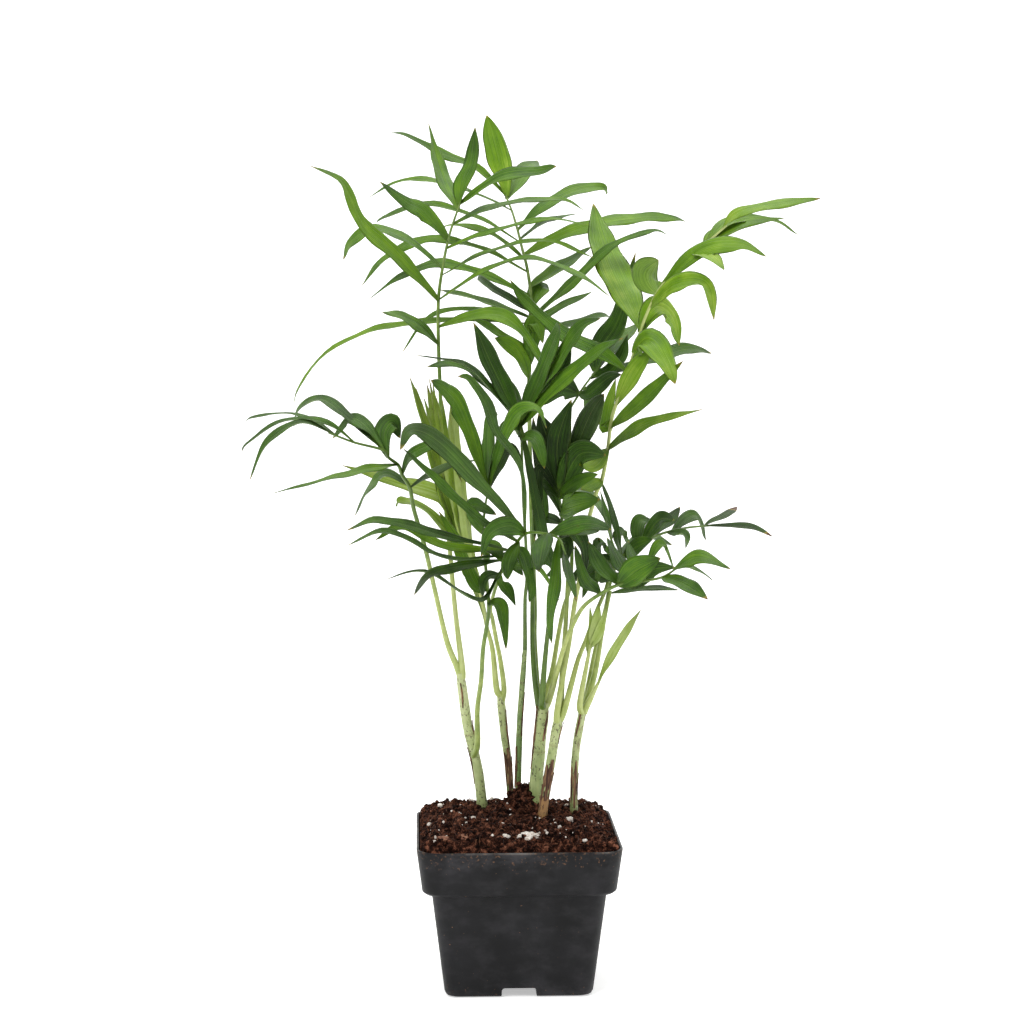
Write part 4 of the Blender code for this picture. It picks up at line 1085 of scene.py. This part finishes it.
def add_notches(group, inset):
    """The four drain notches as solids, or the walls round them when inset is more than 0."""
    inner = POT_BASE_WIDTH / 2 - NOTCH_DEPTH - inset
    for side in range(4):
        bm = bmesh.new()
        bmesh.ops.create_cube(bm, size=1)
        for vert in bm.verts:
            vert.co.x *= NOTCH_WIDTH + 2 * inset
            vert.co.y = inner if vert.co.y < 0 else POT_RIM_WIDTH / 2
            vert.co.z = -NOTCH_HEIGHT if vert.co.z < 0 else NOTCH_HEIGHT + inset
        upper = [edge for edge in bm.edges if all(v.co.z > 0 for v in edge.verts)]
        bmesh.ops.bevel(bm, geom=upper, offset=NOTCH_HEIGHT / 3, segments=6, affect="EDGES", profile=0.5)
        bmesh.ops.rotate(bm, verts=bm.verts, matrix=Matrix.Rotation(side * math.pi / 2, 3, "Z"))
        group.objects.link(bpy.data.objects.new("notch", mesh_from(bm, "notch")))


def add_modifier(obj, kind, **settings):
    modifier = obj.modifiers.new(kind.title(), kind)
    for name, value in settings.items():
        setattr(modifier, name, value)


class PALM_OT_pot(bpy.types.Operator):
    """Makes the moulded square pot, with its band, rounded lip and drain notches"""

    bl_idname = "palm.pot"
    bl_label = "Pot"

    def execute(self, context):
        own = sizes()
        groups = [bpy.data.collections.new(name) for name in ("notches", "notch_walls", "cavities")]
        for group in groups:
            context.scene.collection.children.link(group)
        notches, walls, cavities = groups
        add_notches(notches, 0)
        add_notches(walls, own.pot_wall)
        cavity = bpy.data.objects.new("cavity", loft_mesh("pot_cavity", pot_rings(own.pot_wall)))
        cavities.objects.link(cavity)
        guide = add_object("pot_guide", loft_mesh("pot_shell", pot_rings(0)))
        for obj, group in ((cavity, walls), (guide, cavities), (guide, notches)):
            add_modifier(obj, "BOOLEAN", operation="DIFFERENCE", operand_type="COLLECTION", collection=group,
                         solver="EXACT")
        add_modifier(guide, "BEVEL", width=own.edge_round, segments=3, limit_method="ANGLE",
                     angle_limit=ROUNDED_EDGES, use_clamp_overlap=True)
        graph = bpy.context.evaluated_depsgraph_get()
        mesh = bpy.data.meshes.new_from_object(guide.evaluated_get(graph))
        for group in groups:
            for obj in list(group.objects):
                bpy.data.objects.remove(obj)
            bpy.data.collections.remove(group)
        bpy.data.objects.remove(guide)
        pot = add_object("nursery_pot", mesh, new_material("moulded_polypropylene", pot_finish))
        mesh.shade_smooth()
        mesh.set_sharp_from_angle(angle=SHARP_EDGES)
        hand_over(pot, "pot_plastic", "pot")
        return {"FINISHED"}


# Stage


class PALM_OT_stage(bpy.types.Operator):
    """Makes the pale floor and backdrop, the soft lights and the camera"""

    bl_idname = "palm.stage"
    bl_label = "Studio"

    def execute(self, context):
        scene = context.scene
        bm = bmesh.new()
        foot = SWEEP_FAR - SWEEP_BEND
        turns = [math.pi / 2 * i / 16 for i in range(1, 17)]
        path = [(SWEEP_NEAR, 0.0), (foot, 0.0)]
        path += [(foot + SWEEP_BEND * math.sin(a), SWEEP_BEND - SWEEP_BEND * math.cos(a)) for a in turns]
        path.append((SWEEP_FAR, SWEEP_HIGH))
        rows = [[bm.verts.new((x, y, z)) for x in (-SWEEP_HALF_WIDTH, SWEEP_HALF_WIDTH)] for y, z in path]
        for lower, upper in zip(rows, rows[1:]):
            bm.faces.new((lower[0], lower[1], upper[1], upper[0]))
        floor = add_object("studio_sweep", mesh_from(bm, "sweep"), new_material("studio_paper", paper_finish))
        floor.data.shade_smooth()
        for name, where, size, watts in LIGHTS:
            light = bpy.data.lights.new(name, "AREA")
            light.size = size
            light.energy = watts * sizes().light_power
            lamp = add_object(name, light)
            lamp.location = where
            lamp.rotation_euler = (LIGHT_AIM - Vector(where)).to_track_quat("-Z", "Y").to_euler()
        world = bpy.data.worlds.new("studio_air")
        scene.world = world
        world.use_nodes = True
        sky = world.node_tree.nodes["Background"]
        set_inputs(world.node_tree, sky, {"Color": (1, 1, 1, 1), "Strength": SKY_STRENGTH})
        lens = bpy.data.cameras.new("camera")
        lens.lens = CAMERA_LENS
        lens.sensor_width = CAMERA_SENSOR
        lens.dof.use_dof = False
        lens.clip_start = 0.05
        camera = add_object("camera", lens)
        pitch, yaw, roll = (math.radians(angle) for angle in CAMERA_TURN)
        heading = Vector((math.sin(yaw) * math.cos(pitch), math.cos(yaw) * math.cos(pitch), -math.sin(pitch)))
        camera.location = CAMERA_PLACE
        level = heading.to_track_quat("-Z", "Y").to_matrix()
        camera.rotation_euler = (level @ Matrix.Rotation(roll, 3, "Z")).to_euler()
        scene.camera = camera
        scene.view_settings.view_transform = "Standard"
        return {"FINISHED"}


# Materials


def new_material(name, finish, *values):
    """A material whose surface shader takes the inputs that the finish gives."""
    material = bpy.data.materials.new(name)
    material.use_nodes = True
    tree = material.node_tree
    set_inputs(tree, tree.nodes["Principled BSDF"], finish(partial(add_node, tree), *values))
    return material


def grain(add, size_mm, detail=3.0, stretch=None, roughness=0.5):
    """A random pattern with features of about this size, from 0 to 1."""
    where = add("ShaderNodeTexCoord", out="Object")
    if stretch:
        where = add("ShaderNodeMapping", where, named={"Scale": stretch})
    inputs = {"Scale": 1 / (size_mm * MM), "Detail": detail, "Roughness": roughness}
    return add(NOISE, where, named=inputs, out="Fac")


def varied(add, value, *parts):
    """The value with each part added: a pattern, the pattern's middle and how much it counts."""
    for pattern, middle, weight in parts:
        value = add(TIMES_PLUS, add(MINUS, pattern, middle), weight, value)
    return value


def painted(add, base, *layers):
    """The base colour with each layer over it in turn: its share, and its colour as a hex code."""
    for share, code in layers:
        base = add(MIX, named={0: share, 6: base, 7: hex_rgba(code)}, out=2)
    return base


def bumped(add, height, depth_mm, strength=1.0):
    """The surface's direction, raised by this height."""
    inputs = {"Height": height, "Distance": depth_mm * MM, "Strength": strength}
    return add("ShaderNodeBump", named=inputs)


def leaf_finish(add, roughness):
    """Living palm blade: a waxy cuticle over close parallel veins, so a soft sheen broken into fine lines,
    with a paler midrib, margins and underside, and tips that dry to brown."""
    own = colours()
    across, share, seed, tone, under, painted_sheen, dry = (
        add(HELD, attribute_name=name, out="Fac")
        for name in ("across", "along", "seed", "tone", "under", "painted_sheen", "dry")
    )
    from_rib = add(ABSOLUTE, across)
    lanes = add("ShaderNodeCombineXYZ", add(TIMES, across, 8.0), add(TIMES, share, 1.6), seed)
    streak = add(NOISE, lanes, named={"Scale": 1.0, "Detail": 3.0}, out="Fac")
    # Veins a little coarser than the real 0.4 mm, so that they show.
    veins = add(POWER, add(ABSOLUTE, add(COSINE, add(TIMES, across, 24.0))), 6.0)
    drift = add(SINE, add(TIMES_PLUS, share, 4.5, seed))
    tone = varied(add, tone, (grain(add, 9), 0.5, 0.34), (streak, 0.4, 0.44), (drift, 0.0, 0.06),
                  (veins, 0.0, 0.08))
    base = add(RAMP, tone, stops=(
        (0.0, own.leaf_darkest), (0.18, own.leaf_dark), (0.36, own.leaf_mid), (0.6, own.leaf_bright),
        (0.8, own.leaf_pale), (1.0, own.leaf_palest),
    ))
    past_dry = add(MINUS, varied(add, share, (streak, 0.5, 0.12)), add(MINUS, 1.0, dry))
    green = painted(
        add, base,
        (add(FADE, from_rib, 0.01, 0.06, 0.2, 0.0), "8aa84a"),  # midrib
        (add(FADE, from_rib, 0.93, 1.0, 0.0, 0.22), "8ba84c"),  # margins
        (add(FADE, share, 0.0, 0.12, 0.35, 0.0), "7c9a3c"),  # foot
        (add(TIMES, under, 0.22), "7b9343"),  # underside
        # painted sheen: a greyish green reflection painted over the blade's colour
        (add(TIMES, painted_sheen, 0.5), "6f8358"),
        (add(FADE, past_dry, -0.05, 0.0), own.leaf_yellowing),
        (add(FADE, past_dry, -0.012, 0.02), own.leaf_dried),
        (add(FADE, grain(add, 1.6, 1.0), 0.74, 0.8, 0.0, 0.5), "5c4a26"),  # specks
    )
    height = add(TIMES_PLUS, streak, 0.8, add(TIMES, veins, 0.5))
    return {"Base Color": green, "Roughness": add(TIMES_PLUS, streak, 0.22, roughness - 0.08),
            "Specular IOR Level": 0.22, "Normal": bumped(add, height, 0.3)}


def petiole_finish(add):
    """Petiole and rachis: smooth, faintly ribbed green skin, paler where it is young."""
    tone, length = (add(HELD, attribute_name=name, out="Fac") for name in ("tone", "length_mm"))
    run = add("ShaderNodeCombineXYZ", add(TIMES, length, 0.12))
    slow = add(NOISE, run, named={"Scale": 1.0, "Detail": 2.0}, out="Fac")
    ribs = grain(add, 1 / 1.4, 2.0, (1, 1, 60 / 1400))
    base = add(RAMP, varied(add, tone, (slow, 0.5, 0.4), (ribs, 0.5, 0.25)),
               stops=((0.0, "2c460f"), (0.3, "5c7826"), (0.6, "a9b568"), (1.0, "d3d8a4")))
    specks = add(FADE, grain(add, 1.3, 2.0), 0.7, 0.76, 0.0, 0.5)
    return {"Base Color": painted(add, base, (specks, "4c3d22")), "Roughness": 0.42,
            "Normal": bumped(add, ribs, 0.1, 0.6)}


def cane_finish(add):
    """Cane: smooth pale green bark ringed by leaf scars, with dark flecks, brown and corky at the foot."""
    own = colours()
    tone, tan, scar = (add(HELD, attribute_name=name, out="Fac") for name in ("tone", "tan", "scar"))
    fibre = grain(add, 0.8, 2.0, (1, 1, 0.08))
    base = add(RAMP, varied(add, tone, (grain(add, 7), 0.5, 0.7), (fibre, 0.5, 0.35)),
               stops=((0.0, own.cane_dark), (0.5, own.cane), (1.0, own.cane_pale)))
    fleck = add(TIMES, add(FADE, grain(add, 1.0, 3.0, (1, 1, 0.7), 0.55), 0.56, 0.62),
                add(FADE, grain(add, 6, 2.0), 0.36, 0.5))
    stain = grain(add, 5, 4.0, (1, 1, 0.25), 0.6)
    base = painted(
        add, base,
        (add(FADE, varied(add, tan, (fibre, 0.5, 0.5)), 0.2, 0.75), own.cane_foot),
        (add(TIMES, scar, 0.35), "6e5a36"),
        (add(TIMES, fleck, 0.8), own.cane_fleck),
        (add(FADE, stain, 0.61, 0.7, 0.0, 0.55), "5c4028"),
    )
    height = add(TIMES_PLUS, fleck, 0.4, fibre)
    return {"Base Color": base, "Roughness": 0.5, "Normal": bumped(add, height, 0.2, 0.7)}


def husk_finish(add):
    """Old leaf sheath: dry papery fibre, dull brown with paler strands."""
    fibre = grain(add, 0.7, 3.0, (1, 1, 0.06))
    base = add(RAMP, fibre, stops=((0.3, "2a1811"), (0.5, "5a3a26"), (0.68, "a07f5a")))
    return {"Base Color": base, "Roughness": 0.78, "Normal": bumped(add, fibre, 0.3, 0.8)}


def peat_finish(add):
    """Moist peat compost: matt, dark brown-black crumbs, here and there a redder one."""
    own = colours()
    fine = grain(add, 0.6, 4.0, None, 0.7)
    base = add(RAMP, varied(add, grain(add, 3.2, 4.0, None, 0.6), (fine, 0.5, 0.7)),
               stops=((0.34, own.soil_dark), (0.5, own.soil), (0.6, own.soil_light), (0.78, own.soil_red)))
    return {"Base Color": base, "Roughness": 0.9, "Specular IOR Level": 0.06,
            "Normal": bumped(add, fine, 0.5, 0.9)}


def fibre_finish(add):
    """Coir and root strands: dry, matt, reddish brown."""
    base = add(RAMP, grain(add, 6, 2.0), stops=((0.35, "24120b"), (0.52, "4e2817"), (0.72, "84583a")))
    return {"Base Color": base, "Roughness": 0.85}


def perlite_finish(add):
    """Expanded perlite: chalky white glass foam, dusted with peat in its hollows."""
    pits = grain(add, 0.7, 4.0, None, 0.7)
    base = add(RAMP, pits, stops=((0.28, "a2907f"), (0.42, "d6cbc0"), (0.6, "f1ebe4")))
    dust = add(FADE, grain(add, 2.4), 0.52, 0.66, 0.0, 0.55)
    return {"Base Color": painted(add, base, (dust, "8d705a")), "Roughness": 0.9,
            "Normal": bumped(add, pits, 0.5, 0.9)}


def bark_finish(add):
    """Composted pine bark: layered, matt, reddish brown to nearly black."""
    layers = grain(add, 2.2, 4.0, (0.5, 1, 2.2), 0.6)
    base = add(RAMP, layers, stops=((0.28, "34201a"), (0.5, "7a4c38"), (0.72, "b48a6c")))
    return {"Base Color": base, "Roughness": 0.85, "Normal": bumped(add, layers, 0.6, 0.9)}


def pot_finish(add):
    """Injection-moulded polypropylene: matt charcoal, faintly textured, dusted and specked with dry peat."""
    own = colours()
    cloud = grain(add, 26, 4.0)
    height = add("ShaderNodeSeparateXYZ", add("ShaderNodeTexCoord", out="Object"), out="Z")
    dusty = add(PLUS, add(FADE, height, POT_HEIGHT - 14 * MM, POT_HEIGHT, 0.0, 0.2),
                add(FADE, height, 0.0, 12 * MM, 0.12, 0.0))
    smear = add(FADE, grain(add, 15, 6.0, (1, 1, 1.6), 0.6), 0.4, 0.74)
    # a lighter line along the lip: scuffs, and partly a painted highlight on the rim's edge
    lip = add(FADE, height, POT_HEIGHT - 1.2 * MM, POT_HEIGHT - 0.3 * MM, 0.0, 0.5)
    speck = add(FADE, grain(add, 1.5, 2.0), add(MINUS, 0.73, dusty), 0.82)
    base = painted(
        add, add(RAMP, cloud, stops=((0.3, own.pot_dark), (0.7, own.pot))),
        (add(TIMES, smear, add(PLUS, dusty, 0.12)), own.pot_dust),
        (add(TIMES, smear, lip), "84807c"),  # scuffed lip, partly a painted highlight along the rim's top edge
        (add(TIMES, speck, 0.7), own.pot_speck),
    )
    texture = add(TIMES_PLUS, speck, 0.6, grain(add, 0.45, 2.0))
    return {"Base Color": base, "Roughness": add(TIMES_PLUS, cloud, 0.2, 0.36), "Specular IOR Level": 0.13,
            "Normal": bumped(add, texture, 0.06, 0.5)}


def paper_finish(add):
    """Seamless studio paper: matt white, with the faintest tooth."""
    base = add(RAMP, grain(add, 1.5, 2.0), stops=((0.3, "f4f4f3"), (0.7, "f8f8f7")))
    return {"Base Color": base, "Roughness": 0.95, "Specular IOR Level": 0.1,
            "Emission Color": (1, 1, 1, 1), "Emission Strength": 0.45}


# Panel and properties


def length_property(name, description, millimetres):
    return FloatProperty(name=name, description=description, default=millimetres * MM, min=0, unit="LENGTH",
                         precision=5)


def factor_property(name, description, default):
    return FloatProperty(name=name, description=description, default=default, subtype="FACTOR")


def code_property(name, description, code):
    return StringProperty(name=name, description=description + ", an sRGB hex code", default=code)


class PALM_PG_sizes(bpy.types.PropertyGroup):
    seed: IntProperty(name="Seed", description="Start of every random draw", default=4)
    blade_stations: IntProperty(name="Blade Stations", description="Cross-sections of a blade", default=26)
    blade_thickness: length_property("Blade Thickness", "Thickness of a blade of middling width", 0.34)
    blade_pleats: FloatProperty(name="Pleats", description="Pleats on each side of the midrib", default=2.5)
    pleat_depth: factor_property("Pleat Depth", "As a share of half the width", 0.035)
    wave_length: length_property("Wave Length", "Length of the ripple along a blade's edge", 26)
    edge_wave: factor_property("Edge Wave", "Ripple of the edge, as a share of half the width", 0.1)
    petiole_radius: length_property("Petiole Radius", "Radius of a petiole where it leaves its cane", 1.35)
    rachis_tip_radius: length_property("Rachis Tip Radius", "Radius of a rachis at its tip", 0.5)
    cane_root: length_property("Cane Root", "How far a cane goes on down into the soil", 14)
    fibres: IntProperty(name="Fibres", description="Root strands on the soil", default=260)
    perlite_specks: IntProperty(name="Perlite Specks", description="Fine perlite in the soil", default=70)
    pot_wall: length_property("Pot Wall", "Thickness of the pot's wall", 1.2)
    edge_round: length_property("Edge Round", "Rounding of the pot's moulded edges", 0.4)
    light_power: factor_property("Light Power", "Strength of the studio lights", 1)


class PALM_PG_colours(bpy.types.PropertyGroup):
    leaf_darkest: code_property("Leaf Darkest", "The darkest old blade", "182c07")
    leaf_dark: code_property("Leaf Dark", "An old blade", "2c4b0d")
    leaf_mid: code_property("Leaf Mid", "A blade of middling age", "466e12")
    leaf_bright: code_property("Leaf Bright", "A young blade", "6c9413")
    leaf_pale: code_property("Leaf Pale", "A new blade", "9db844")
    leaf_palest: code_property("Leaf Palest", "The newest blade", "c3d584")
    leaf_yellowing: code_property("Yellowing", "A blade next to its dry tip", "b39f45")
    leaf_dried: code_property("Dried", "A dry tip", "6b4727")
    cane: code_property("Cane", "The canes", "aab67a")
    cane_dark: code_property("Cane Dark", "The canes' darker patches", "5f7a3a")
    cane_pale: code_property("Cane Pale", "The canes' paler patches", "c9cda2")
    cane_foot: code_property("Cane Foot", "The corky foot of a cane", "a07848")
    cane_fleck: code_property("Cane Fleck", "Flecks on the canes", "3b2a1e")
    soil: code_property("Soil", "The peat", "28140e")
    soil_dark: code_property("Soil Dark", "The darkest peat", "070302")
    soil_light: code_property("Soil Light", "The drier peat", "5f3a2b")
    soil_red: code_property("Soil Red", "Reddish crumbs", "94634e")
    pot: code_property("Pot", "The pot", "1d1d1f")
    pot_dark: code_property("Pot Dark", "The pot's darker patches", "121213")
    pot_dust: code_property("Pot Dust", "The film of dust", "58565a")
    pot_speck: code_property("Pot Speck", "Specks of dry peat", "7c5a40")


OPERATORS = (
    PALM_OT_pot, PALM_OT_soil, PALM_OT_grains, PALM_OT_canes, PALM_OT_sheaths, PALM_OT_fronds, PALM_OT_stage,
)


class PALM_PT_panel(bpy.types.Panel):
    """The palm's pieces, in the order in which they are made"""

    bl_idname = "PALM_PT_panel"
    bl_label = "Potted Parlor Palm"
    bl_space_type = "VIEW_3D"
    bl_region_type = "UI"
    bl_category = "Palm"

    def draw(self, context):
        for step in OPERATORS:
            self.layout.operator(step.bl_idname)
        for group in (context.scene.palm_sizes, context.scene.palm_colours):
            box = self.layout.box()
            for key in group.__annotations__:
                box.prop(group, key)


CLASSES = (PALM_PG_sizes, PALM_PG_colours, *OPERATORS, PALM_PT_panel)


def register():
    for cls in CLASSES:
        bpy.utils.register_class(cls)
    bpy.types.Scene.palm_sizes = PointerProperty(type=PALM_PG_sizes)
    bpy.types.Scene.palm_colours = PointerProperty(type=PALM_PG_colours)


def unregister():
    del bpy.types.Scene.palm_colours
    del bpy.types.Scene.palm_sizes
    for cls in reversed(CLASSES):
        bpy.utils.unregister_class(cls)


def main():
    register()
    for step in OPERATORS:
        group, name = step.bl_idname.split(".")
        getattr(getattr(bpy.ops, group), name)()


if __name__ == "__main__":
    main()
